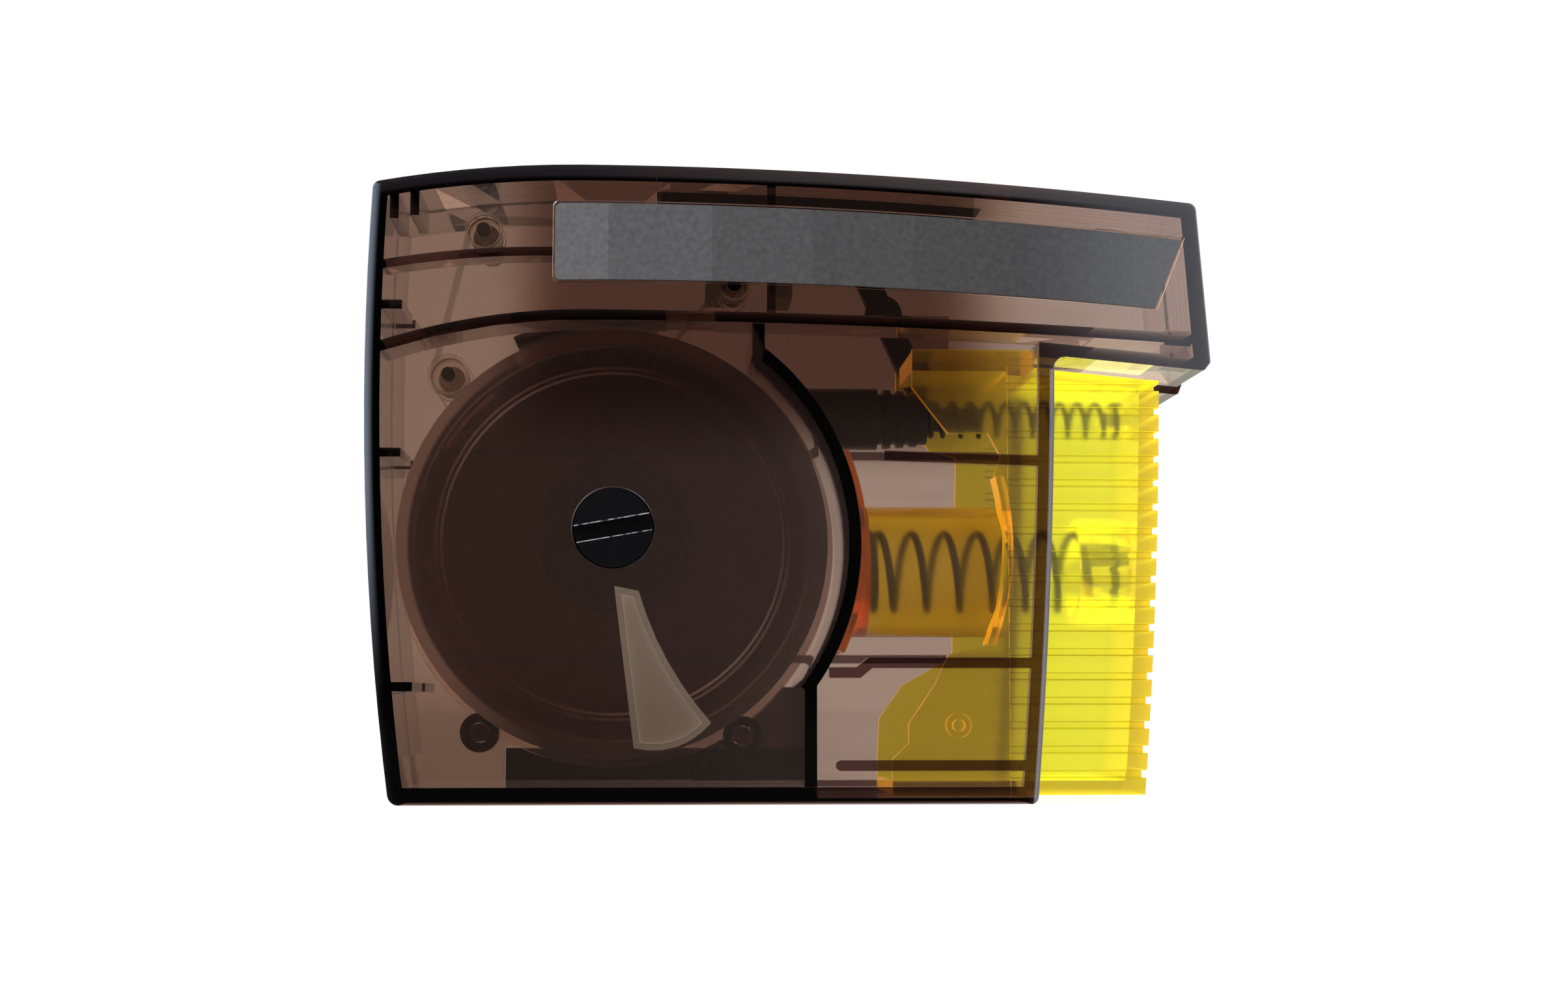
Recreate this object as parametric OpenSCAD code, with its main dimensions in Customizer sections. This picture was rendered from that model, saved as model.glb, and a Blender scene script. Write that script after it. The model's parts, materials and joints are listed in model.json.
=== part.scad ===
// Fibre optic cleaning cassette: a hand-held reel cleaner, standing on its flat base.
// X runs to the right along the front, Y from the front face to the rear face, Z up.
// The origin lies on the base, halfway along the overall width and halfway through the thickness.
// Depths are measured from the front face towards the rear.

/* [Case] */
// Room beside the cartridge for the walls, the springs and the lever
bay_w = 34.1; // [33.8:0.1:36]
// How far the head stands out past the right wall
head_out = 22.7; // [22.5:0.1:24]
// Overall thickness, front face to rear face
case_t = 33; // [32.8:0.1:36]
// Thickness of the side walls
wall = 2; // [1.8:0.1:2.2]
// Thickness of the front and rear plates
plate = 2; // [1.8:0.1:2.1]
// Thickness of the base
base_wall = 2.4; // [2.2:0.1:2.8]
// Depth of the head, from the crown down to its underside
head_drop = 27.1; // [26.8:0.1:28]
// How far the head's underside lies below the top of the cartridge
notch_drop = 5.1; // [4.9:0.1:5.3]
// How far the left wall draws in at the base
base_set_in = 4.4; // [3:0.1:5]
// How far the right wall leans in at the base
body_lean = 3.1; // [2:0.1:3.6]
// Height of the guide rails inside the plates
rail_h = 1.8; // [1.4:0.1:1.9]
// Thickness of the guide rails
rail_w = 1.5; // [1:0.1:1.8]

/* [Label] */
// Depth of the label recess in the front face
label_deep = 0.8; // [0.4:0.1:1]
// Thickness of the label
label_t = 0.6; // [0.2:0.1:0.8]
// Height of the label recess at its left end
label_h = 11.8; // [8:0.1:12]
// Length of the label recess along its top edge
label_w = 91.4; // [80:0.1:92]
// Length of the blank label on the rear face
rear_label_w = 46.6; // [30:0.1:50]
// Height of the blank label on the rear face
rear_label_h = 6.2; // [5:0.1:8]

/* [Cartridge] */
// Radius of the clear sheet between the cartridge shells, which shows as a light ring
sheet_r = 32.2; // [31.6:0.1:34]
// How far the clear sheet stands out of the shells
sheet_out = 1.6; // [1.2:0.1:2]
// Wall of the cartridge shells
shell_t = 1.4; // [1.2:0.1:1.6]
// Thickness of the clear sheet
sheet_t = 1.6; // [1:0.1:1.6]
// Height of the reel axis above the centre of the shells
hub_rise = 2; // [1.6:0.1:2.1]
// Radius of the reel hubs
hub_r = 8.76; // [8:0.1:9]
// Radius of the wound tape on the take-up hub
take_up_r = 10.6; // [10.2:0.1:12]
// Radius of the wound tape on the supply hub
supply_r = 11.5; // [11.2:0.1:13]
// Radius of the slotted knob
knob_r = 5.55; // [5:0.05:6]
// Width of the coin slot in the knob
coin_slot_w = 2.3; // [1.6:0.1:2.6]
// Depth of the coin slot
coin_slot_deep = 1.6; // [1:0.1:2]
// Width of the cleaning tape
tape_w = 6; // [5.4:0.1:6]
// Thickness of the cleaning tape
tape_t = 0.2; // [0.15:0.05:0.25]

/* [Ratchet] */
// Number of teeth on the ratchet wheel
teeth = 30; // [30:1:30]
// Gap between the ratchet teeth and the wall of the shells, for the rise of the hub and for running
ratchet_in = 2.5; // [2.3:0.1:2.7]
// Depth of the ratchet teeth
tooth_deep = 2.2; // [2:0.1:2.4]
// Thickness of the ratchet wheel
ratchet_t = 2; // [1.6:0.1:2.2]
// Width of the feed arm's tooth
feed_tooth_w = 2; // [1.6:0.1:2.2]

/* [Lever] */
// Travel of the lever into the case
stroke = 10.5; // [10:0.1:10.6]
// How far the grip stands out of the case
grip_out = 16.1; // [15.6:0.1:18]
// Wall of the lever
lever_wall = 2; // [1.6:0.1:2]
// Height of the lever's sole above the base plane
lever_lift = 1.1; // [1:0.1:1.4]
// Distance from one grip rib to the next
rib_pitch = 3.5; // [3:0.1:4]
// Width of the grooves between the ribs
groove_w = 1.05; // [0.8:0.05:1.2]
// Depth of the grooves on the right edge
groove_deep = 0.65; // [0.4:0.05:0.7]
// Depth of the grooves on the two faces
groove_face = 0.4; // [0.2:0.05:0.5]

/* [Springs] */
// Outer radius of the spring tube
tube_r = 9.75; // [9.4:0.05:9.8]
// Inner radius of the spring tube
tube_bore_r = 8.5; // [8.3:0.05:8.6]
// Wire diameter of the main spring
main_wire = 1.1; // [0.8:0.05:1.2]
// Outer radius of the main spring
main_spring_r = 6.35; // [6:0.05:6.4]
// Number of free coils in the main spring
main_coils = 7; // [6:1:8]
// Wire diameter of the upper spring
upper_wire = 0.8; // [0.7:0.05:0.85]
// Outer radius of the upper spring
upper_spring_r = 3; // [2.8:0.05:3.05]
// Number of free coils in the upper spring
upper_coils = 10; // [8:1:11]

/* [Head] */
// Length of the window frame in the top wall
frame_l = 48; // [47:0.1:50]
// How far the window frame lies ahead of the lever's rear plate
frame_ahead = 2.2; // [2.1:0.1:2.5]
// Length of each cleaning window along the head
window_l = 7; // [6:0.1:7]
// Width of each cleaning window across the head
window_w = 9; // [8:0.1:9]
// Distance between the two cleaning windows
window_pitch = 18; // [17.8:0.1:18.4]
// Thickness of the shutter
shutter_t = 1.1; // [0.9:0.1:1.2]
// Length of the rocker's lower arm
rocker_low = 12.42; // [12.3:0.02:12.5]
// Length of the rocker's upper arm
rocker_high = 9.5; // [9:0.1:9.5]
// Radius of the lower guide roller
low_roller_r = 2.6; // [2.2:0.1:2.8]
// Radius of the upper guide roller
high_roller_r = 2.3; // [2:0.1:2.4]
// Radius of the return guide roller
return_roller_r = 1.75; // [1.6:0.1:1.8]
// Radius of the guide pins
pin_r = 1; // [0.8:0.05:1]

/* [Hidden] */
$fn = 72;

// Running gap between moving plastic pieces
clear = 0.3;
// Gap between fixed pieces that nest
snug = 0.1;
// Radial gap of a roller or reel on its pin
run = 0.05;
// How far a cut passes beyond the surface it opens
over = 1;
// Points on each long curved edge
edge_steps = 14;
// Points on each small rounded corner
corner_steps = 4;

// Corner radii of the case
base_corner_r = 1.6;
foot_corner_r = 1;
notch_r = 1.5;
tip_corner_r = 0.5;
top_corner_r = 1.1;

// Shares of the case's width and height where its edges bulge furthest
bulge_share = 0.684;
lean_share = 0.797;
crown_share = 0.258;
// Falls of the top edge, from the crown to the left wall and to the tip
crown_fall_left = 3;
crown_fall_right = 4.85;
// Shape of the head's tip: its lean, the fall of the underside, and the cut corner
tip_lean = 1.8;
tip_fall = 0.8;
tip_cut_x = 0.9;
tip_cut_z = 1.2;
// How much lower the rear cover's underside is
rear_drop = 1.2;

cart_lift = 2.3;
cart_z = base_wall + cart_lift + sheet_r;
head_z = cart_z + sheet_r - notch_drop;
case_h = head_z + head_drop;
body_w = 2 * sheet_r + bay_w;
case_w = body_w + head_out;
left_x = -case_w / 2;
tip_x = case_w / 2;
bulge_z = case_h * bulge_share;
body_x = left_x + body_w;
lean_z = case_h * lean_share;
crown_x = left_x + case_w * crown_share;
tip_z = head_z - tip_fall;
mid = case_t / 2;

function arc_radius(reach, rise) = (reach * reach + rise * rise) / (2 * rise);
left_r = arc_radius(bulge_z, base_set_in);
lean_r = arc_radius(lean_z, body_lean);
crown_left_r = arc_radius(crown_x - left_x, crown_fall_left);
crown_right_r = arc_radius(tip_x - crown_x, crown_fall_right);
under_slope = (head_z - tip_z + tip_cut_z) / (tip_x - tip_cut_x - body_x);

// Edges of the case: X of the two side walls at a height, Z of the top and underside at an X
function left_wall(z) = left_x + left_r - sqrt(pow(left_r, 2) - pow(z - bulge_z, 2));
function right_wall(z) = body_x - lean_r + sqrt(pow(lean_r, 2) - pow(z - lean_z, 2));
function crown_r(x) = x < crown_x ? crown_left_r : crown_right_r;
function top_z(x) = case_h - crown_r(x) + sqrt(pow(crown_r(x), 2) - pow(x - crown_x, 2));
function under_z(x, drop) = head_z - drop - (x - body_x) * under_slope;

// Plane geometry
function unit(v) = v / norm(v);
function left_of(v) = [-v[1], v[0]];
function polar(r, a) = [r * cos(a), r * sin(a)];
function flat(points) = [for (p = points) [p[0], p[1]]];
function steps(a, b, n) = [for (i = [0:n]) a + (b - a) * i / n];

// A corner q between p and r, rounded to a radius
function rounded_corner(p, q, r, radius) =
    radius == 0 ? [q] :
    let (
        u = unit(p - q),
        v = unit(r - q),
        half = acos(u * v) / 2,
        centre = q + unit(u + v) * radius / sin(half),
        a = q + u * radius / tan(half) - centre,
        b = q + v * radius / tan(half) - centre,
        turn = 180 - 2 * half
    )
    [for (t = steps(0, turn, corner_steps)) centre + (a * sin(turn - t) + b * sin(t)) / sin(turn)];
function rounded(points) =
    let (n = len(points), p = flat(points))
    [for (i = [0:n - 1]) each rounded_corner(p[(i + n - 1) % n], p[i], p[(i + 1) % n], points[i][2])];

// A closed outline drawn in by a distance, and an open line widened to a strip
function drawn_in(p, d) =
    let (n = len(p))
    [for (i = [0:n - 1])
        let (
            a = left_of(unit(p[i] - p[(i + n - 1) % n])),
            b = left_of(unit(p[(i + 1) % n] - p[i]))
        )
        p[i] + d * (a + b) / (1 + a * b)];
function strip(p, w) =
    let (
        n = len(p),
        side = [for (i = [0:n - 2]) left_of(unit(p[i + 1] - p[i]))],
        shift = [for (i = [0:n - 1])
            let (a = side[max(i - 1, 0)], b = side[min(i, n - 2)]) (a + b) / (1 + a * b) * w / 2]
    )
    concat([for (i = [0:n - 1]) p[i] + shift[i]], [for (i = [n - 1:-1:0]) p[i] - shift[i]]);
function bowed(p, q, bow, n) =
    let (out = -left_of(unit(q - p)))
    [for (t = steps(0, 1, n)) p + (q - p) * t + out * 4 * bow * t * (1 - t)];

// Outline of the case, counter-clockwise from the left end of the base; the third value rounds a corner
function case_tip(drop, cut) = cut
    ? [[tip_x - tip_cut_x, under_z(tip_x - tip_cut_x, drop), tip_corner_r], [tip_x, tip_z, tip_corner_r]]
    : [[tip_x, under_z(tip_x, drop), 0]];
function case_outline(drop, cut = true) =
    let (
        top_right = tip_x - tip_lean,
        top_left = left_wall(case_h - crown_fall_left),
        notch_z = head_z - drop
    )
    concat(
        [[left_wall(0), 0, base_corner_r]],
        [[right_wall(0), 0, foot_corner_r]],
        [for (i = [1:edge_steps - 1]) let (z = notch_z * i / edge_steps) [right_wall(z), z, 0]],
        [[right_wall(notch_z), notch_z, notch_r]],
        case_tip(drop, cut),
        [[top_right, top_z(top_right), top_corner_r]],
        [for (i = [1:2 * edge_steps - 1])
            let (x = top_right + (top_left - top_right) * i / (2 * edge_steps)) [x, top_z(x), 0]],
        [[top_left, top_z(top_left), top_corner_r]],
        [for (i = [1:edge_steps - 1])
            let (z = (case_h - crown_fall_left) * (1 - i / edge_steps)) [left_wall(z), z, 0]]
    );

// Solids placed by depth
module layer(d0, d1) {
    translate([0, d1 - mid, 0])
        rotate([90, 0, 0])
            linear_extrude(d1 - d0)
                children();
}
module block(x0, x1, d0, d1, z0, z1) {
    translate([x0, d0 - mid, z0])
        cube([x1 - x0, d1 - d0, z1 - z0]);
}
module rod(x, z, d0, d1, r) {
    translate([x, d1 - mid, z])
        rotate([90, 0, 0])
            cylinder(h = d1 - d0, r = r);
}
module cross_rod(x0, x1, z, r) {
    translate([x0, 0, z])
        rotate([0, 90, 0])
            cylinder(h = x1 - x0, r = r);
}
module sector(r0, r1, a0, a1) {
    reach = 2 * r1;
    intersection() {
        difference() {
            circle(r = r1);
            circle(r = r0);
        }
        polygon(concat([[0, 0]], [for (a = steps(a0, a1, 4)) polar(reach, a)]));
    }
}

// Places shared by several pieces
sheet_ahead = 1.5;
cart_gap = 0.6;
rail_top = plate + rail_h;
cart_x = left_wall(cart_z) + wall + clear + sheet_r;
shell_r = sheet_r - sheet_out;
ratchet_r = shell_r - shell_t - ratchet_in;
hub_x = cart_x;
hub_z = cart_z + hub_rise;
sheet_d0 = mid - sheet_ahead - sheet_t / 2;
sheet_d1 = sheet_d0 + sheet_t;
shell_d0 = plate + cart_gap;
shell_d1 = case_t - rail_top - clear;
face_d0 = shell_d0 + shell_t;
face_d1 = shell_d1 - shell_t;
hub_gap = 0.5;
take_d0 = face_d0 + hub_gap;
ratchet_gap = 0.4;
ratchet_d1 = sheet_d0 - ratchet_gap;
ratchet_d0 = ratchet_d1 - ratchet_t;
washer_t = 0.7;
supply_d0 = sheet_d1 + hub_gap;
supply_d1 = face_d1 - washer_t;
take_tape_d = (take_d0 + ratchet_d0) / 2;
supply_tape_d = (supply_d0 + supply_d1) / 2;
spindle_r = 4;
spindle_tip_r = 2.5;
knob_gap = 0.3;

// The curved wall right of the cartridge, and its leg down to the base
divider_gap = 1.4;
divider_t = 1.8;
divider_r0 = sheet_r + divider_gap;
divider_r1 = divider_r0 + divider_t;
divider_a0 = -37.5;
divider_a1 = 54;
leg_a = -35;
web_l = 17.5;
web_t = 1.5;
leg_x1 = cart_x + divider_r1 * cos(leg_a);

// Lever
wing_gap = 0.47;
wing_reach = body_x - leg_x1 - stroke - wing_gap;
lever_d0 = rail_top + clear;
lever_d1 = case_t - lever_d0;
wing_top = head_z + wall - clear * 2;
wing_h = wing_top - lever_lift;
grip_reach = 6.4;
grip_top_t = 1.2;
grip_x0 = body_x - grip_reach;
stop_x = right_wall(head_z) - wall - clear;
lever_floor = lever_lift - clear;
tooth_w = rib_pitch - groove_w;
// Left edge of the lever, from the top down: shares of its reach and of its height
wing_shares = [
    [0.867, 1], [0.867, 0.913], [0.644, 0.809], [0.395, 0.811], [0.318, 0.759], [0.356, 0.714]
];
tail_shares = [
    [0.416, 0.334], [0.652, 0.311], [0.734, 0.245], [0.897, 0.158], [0.897, 0.115], [1, 0.079], [1, 0]
];
rear_wing_shares = [
    [0.867, 1], [0.867, 0.913], [0.644, 0.809], [0.468, 0.79], [0.502, 0.314],
    [0.837, 0.244], [0.987, 0.168], [1, 0.084], [1, 0]
];
wing_heel = wing_shares[len(wing_shares) - 1];
saddle_bow = 1.9;
cup_wall = 1.15;
cup_l = 7;
saddle_in = 0.3;
saddle_t = 1.2;
saddle_deep = 5;
function wing_point(s) = [body_x - wing_reach * s[0], lever_lift + wing_h * s[1]];
function grip_x(z) = right_wall(z) + grip_out;
function grip_top(x) = under_z(x, rear_drop) - clear;

// Springs
spring_drop = 3.2;
spring_z = cart_z - spring_drop;
guide_r0 = divider_r1 + clear;
guide_t = 1;
guide_r1 = guide_r0 + guide_t;
tube_short = 5.4;
tube_x1 = body_x - tube_short;
spring_seat = 0.5;
main_x0 = cart_x + guide_r1 + spring_seat;
seat_x = grip_x(spring_z) - lever_wall - groove_deep - spring_seat;
upper_down = 7.4;
upper_z = head_z - upper_down;
post_reach = 16.9;
post_share = 0.5;
post_r = [4.6, 3.8, 1.8];
post_rings = 4;
post_ring_pitch = 2;
post_ring_step = 0.15;
flange_gap = 1;
post_shoulder = body_x - post_reach;
upper_seat_x = grip_x(upper_z) - lever_wall - groove_deep - spring_seat;

// Feed arm and ratchet
arm_gap = 0.1;
arm_z0 = cart_z + sheet_r + clear;
arm_h = 2.2;
arm_d0 = ratchet_d0 + arm_gap;
arm_d1 = ratchet_d1 - arm_gap;
ratchet_clear = 0.6;
feed_tip_z = hub_z + ratchet_r - tooth_deep + ratchet_clear;
feed_x = hub_x + stroke / 2;
feed_r = norm([stroke / 2, feed_tip_z - hub_z + ratchet_clear]);
feed_a = 90 - asin(stroke / 2 / feed_r);
feed_lag = 0.5;
tooth_share = 0.3;
arm_foot_l = 6;

// Head frame: its middle lies on the top edge, and it tilts with that edge
frame_back = 33.4;
frame_x = body_x - frame_back;
frame_tilt = asin((frame_x - crown_x) / crown_right_r);
frame_d1 = lever_d1 - lever_wall - frame_ahead;
frame_d0 = case_t - frame_d1;
frame_leg_t = 1;
shutter_gap = 0.65;
shutter_edge = 2;
shutter_z1 = -wall - shutter_gap;
shutter_z0 = shutter_z1 - shutter_t;
rocker_swing = 2 * asin(stroke / 2 / rocker_low);
shutter_stroke = 2 * rocker_high * sin(rocker_swing / 2);
shutter_d0 = frame_d0 + frame_leg_t + clear;
shutter_d1 = frame_d1 - frame_leg_t - clear;
pad_gap = 1.2;
pad_z1 = shutter_z0 - pad_gap - frame_leg_t;
nose_r = 1.5;
platform_d0 = shutter_d0 + clear;
platform_d1 = shutter_d1 - clear;
platform_l = 37;
pad_l = 26;
pad_t = 1.2;

// Rocker
rocker_peg_share = 0.7359;
rocker_back = wing_reach * rocker_peg_share + stroke / 2;
rocker_x = body_x - rocker_back;
rocker_up = 10;
rocker_z = head_z + rocker_up;
rocker_t = 2.4;
rocker_d0 = platform_d1 + clear * 2;
rocker_d1 = rocker_d0 + rocker_t;
rocker_pin_r = 1.5;
rocker_peg_r = 1.2;
rocker_w = 3.6;
rocker_hub_r = 2.8;
pin_head_t = 0.7;
tab_d0 = rocker_d1 + clear;
tab_d1 = case_t - plate - over;
tab_w = 4.2;
function rocker_low_end(a) = [rocker_x + rocker_low * sin(a), rocker_z - rocker_low * cos(a)];
function rocker_high_end(a) = [rocker_x - rocker_high * sin(a), rocker_z + rocker_high * cos(a)];

// Guides of the tape: centre, radius, side of travel and depth of each thing that it passes round
low_roller_in = 10.1;
low_roller_up = 26.2;
low_roller = [left_x + low_roller_in, cart_z + low_roller_up];
high_roller_in = 15.4;
high_roller_down = 6.9;
high_roller = [left_x + high_roller_in, case_h - high_roller_down];
flange_h = 0.5;
flange_t = 0.6;
return_roller_in = 21.1;
return_roller = [crown_x + return_roller_in, arm_z0 + arm_h + clear + return_roller_r + flange_h];
high_tape_back = 1.1;
high_tape_d = mid + high_tape_back;
tape_float = 0.1;
wrap_steps = 8;
function head_point(x, z) = [
    frame_x + x * cos(frame_tilt) + z * sin(frame_tilt),
    top_z(frame_x) - x * sin(frame_tilt) + z * cos(frame_tilt)
];
pad_left = head_point(-platform_l / 2 + nose_r, pad_z1 - nose_r);
pad_right = head_point(platform_l / 2 - nose_r, pad_z1 - nose_r);
tape_guides = [
    [[hub_x, hub_z], supply_r, -1, supply_tape_d],
    [low_roller, low_roller_r, -1, supply_tape_d],
    [high_roller, high_roller_r, -1, high_tape_d],
    [pad_left, nose_r, -1, mid],
    [pad_right, nose_r, -1, mid],
    [return_roller, return_roller_r, 1, take_tape_d],
    [[hub_x, hub_z], take_up_r, 1, take_tape_d]
];

// Direction of the straight run of tape from guide i to the next
function run_radius(g) = g[2] * (g[1] + tape_float + tape_t / 2);
function run_angle(i) =
    let (
        g = tape_guides[i],
        h = tape_guides[i + 1],
        d = h[0] - g[0]
    )
    atan2(d[1], d[0]) - asin((run_radius(h) - run_radius(g)) / norm(d));
function signed(a) = a - 360 * round(a / 360);
function wrap(i) =
    let (
        g = tape_guides[i],
        last = len(tape_guides) - 1,
        into = i == 0 ? run_angle(0) : run_angle(i - 1),
        out = i == last ? into : run_angle(i),
        turn = g[2] * max(g[2] * signed(out - into), 0),
        n = turn == 0 ? 0 : wrap_steps
    )
    [for (k = [0:n])
        let (a = into + (n == 0 ? 0 : turn * k / n) - 90)
        [each g[0] + polar(run_radius(g), a), g[3]]];
tape_path = [for (i = [0:len(tape_guides) - 1]) each wrap(i)];

// Coils: points of a wire that starts and ends straight along its axis
coil_sides = 6;
coil_rings = 8;
end_coil_share = 1.6;
bend_share = 0.9;
function coil_wire(x0, x1, r, wire, coils) =
    let (
        bend = wire * bend_share,
        lead = wire,
        close = wire * end_coil_share,
        a0 = bend / r * 180 / PI,
        first = x0 + lead + bend,
        last = x1 - lead - bend,
        n = (coils + 2) * coil_rings,
        free = (last - first - 2 * close) / coils
    )
    concat(
        [[x0, 0], [x0 + lead, 0]],
        [for (a = [30, 60]) [x0 + lead + bend * sin(a), a0 * (1 - cos(a))]],
        [for (i = [0:n])
            let (t = i / coil_rings)
            [
                first + close * min(t, 1) + free * min(max(t - 1, 0), coils) + close * max(t - coils - 1, 0),
                a0 + 360 * t
            ]],
        [for (a = [60, 30]) [x1 - lead - bend * sin(a), 2 * a0 + 360 * (coils + 2) - a0 * (1 - cos(a))]],
        [[x1 - lead, 2 * a0 + 360 * (coils + 2)], [x1, 2 * a0 + 360 * (coils + 2)]]
    );
function coil_point(p, r) = [p[0], r * cos(p[1]), r * sin(p[1])];
function least_gap(line, r, wire) =
    min([for (i = [0:len(line) - coil_rings])
        for (j = [i + coil_rings - 1:min(i + coil_rings + 1, len(line) - 1)])
            norm(coil_point(line[i], r) - coil_point(line[j], r))]) - wire;
module coil(line, r, wire, z) {
    n = len(line);
    centre = [for (p = line) coil_point(p, r)];
    rings = [for (i = [0:n - 1])
        let (
            t = unit(centre[min(i + 1, n - 1)] - centre[max(i - 1, 0)]),
            u = unit([0, cos(line[i][1]), sin(line[i][1])] - t * (t * [0, cos(line[i][1]), sin(line[i][1])])),
            v = cross(t, u)
        )
        for (k = [0:coil_sides - 1])
            let (a = 360 * k / coil_sides) centre[i] + (u * cos(a) + v * sin(a)) * wire / 2];
    walls = [for (i = [0:n - 2]) for (k = [0:coil_sides - 1])
        let (a = i * coil_sides + k, b = i * coil_sides + (k + 1) % coil_sides)
        each [[a, b, a + coil_sides], [b, b + coil_sides, a + coil_sides]]];
    first_cap = [for (k = [1:coil_sides - 2]) [0, k + 1, k]];
    end = (n - 1) * coil_sides;
    last_cap = [for (k = [1:coil_sides - 2]) [end, end + k, end + k + 1]];
    translate([0, 0, z])
        polyhedron(rings, [for (f = concat(walls, first_cap, last_cap)) [f[0], f[2], f[1]]]);
}
main_r = main_spring_r - main_wire / 2;
upper_r = upper_spring_r - upper_wire / 2;
main_line = coil_wire(main_x0, seat_x - run, main_r, main_wire, main_coils);
upper_line = coil_wire(post_shoulder, upper_seat_x - run, upper_r, upper_wire, upper_coils);
echo("least gap between coils of the main spring", least_gap(main_line, main_r, main_wire));
echo("least gap between coils of the upper spring", least_gap(upper_line, upper_r, upper_wire));

// Colours
smoke = [0.30, 0.21, 0.17, 0.45];
dark_smoke = [0.16, 0.10, 0.09, 0.8];
clear_plastic = [0.85, 0.83, 0.78, 0.4];
yellow = [0.95, 0.85, 0.05, 0.7];
black = [0.07, 0.07, 0.08];
steel = [0.62, 0.62, 0.64];
paper = [0.92, 0.92, 0.88];

// Case

// Ribs of the front cover, seen through its face
seam_r_left = 90;
seam_drop = 21.5;
seam_fall = 3;
seam_deep = 3;
seam_far_deep = 9.3;
seam_d1 = plate + seam_deep;
seam_far_d1 = plate + seam_far_deep;
seam_notch = [-18, -11];
function seam_z(x) = case_h - seam_drop
    - pow(x - crown_x, 2) / 2 / (x < crown_x ? seam_r_left : arc_radius(tip_x - crown_x, seam_fall));
second_rib_drop = 12.4;
second_rib_fall = 2.3;
second_rib_bow = 0.6;
second_rib_deep = 5;
stub_l = 2.9;
stub_w = 1.3;
top_stub_l = 3.4;
stub_short = 2;
stub_d1 = mid - stub_short;
stub_shares = [0.777, 0.544, 0.181];
top_stub_in = [3, 5.9];
upper_rail_up = 12.6;
lower_rail_down = 17;
upper_rail_z = cart_z + upper_rail_up;
lower_rail_z = cart_z - lower_rail_down;
rail_step = 1.4;
rail_fall = 0.6;
floor_rail_up = 3;
floor_rail_z = base_wall + floor_rail_up;
rail_gap = 1;
rail_x0 = cart_x + guide_r1 + rail_gap;
rail_step_l = 1.7;
rail_step_in = 5.9;
rail_step_x = leg_x1 + rail_step_in;
lower_rail_x0 = cart_x + snug
    + sqrt(pow(divider_r1, 2) - pow(cart_z - lower_rail_z + rail_step - rail_w / 2, 2));
floor_rail_in = 3.4;
floor_rail_x0 = leg_x1 + floor_rail_in;
spine_in = 25.8;
spine_x = crown_x + spine_in;

module label_2d(margin) {
    x0 = crown_x - label_in;
    x1 = x0 + label_w;
    gap = label_gap;
    slant = label_slant;
    top = [for (x = steps(x1 - margin, x0 + margin, edge_steps)) [x, top_z(x) - gap - margin, 0]];
    low = [for (x = steps(x0 + margin, x1 - slant - margin, edge_steps))
        [x, top_z(x) - gap - label_h + margin + label_taper * (x - x0) / label_w, 0]];
    corners = [for (p = concat(low, top))
        [p[0], p[1], p == low[0] || p == top[len(top) - 1] ? label_corner_r : 0]];
    polygon(rounded(corners));
}
label_in = 4.9;
label_gap = 5.2;
label_slant = 4.2;
label_taper = 0.7;
label_corner_r = 0.8;

module hollow(drop) {
    intersection() {
        polygon(drawn_in(flat(case_outline(drop, false)), wall));
        translate([left_x, base_wall])
            square([case_w, case_h]);
    }
}
module lever_gate(drop) {
    gate_x = body_x - wall * 2;
    far_x = tip_x + over;
    layer(rail_top, case_t - rail_top)
        polygon([
            [gate_x - body_lean, lever_floor], [far_x, lever_floor],
            [far_x, under_z(far_x, drop)], [gate_x - body_lean, under_z(gate_x - body_lean, drop)]
        ]);
    block(body_x - wing_reach - stroke - clear, body_x, rail_top, case_t - rail_top,
        lever_floor, base_wall + over);
}
module frame_hole() {
    layer(frame_d0 - snug / 2, frame_d1 + snug / 2)
        translate([frame_x - frame_l / 2 - snug / 2, top_z(crown_x) - wall * 3])
            square([frame_l + snug, wall * 4]);
}
module seam_line(x0, x1) {
    polygon(strip([for (x = steps(x0, x1, edge_steps)) [x, seam_z(x)]], rail_w));
}
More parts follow.
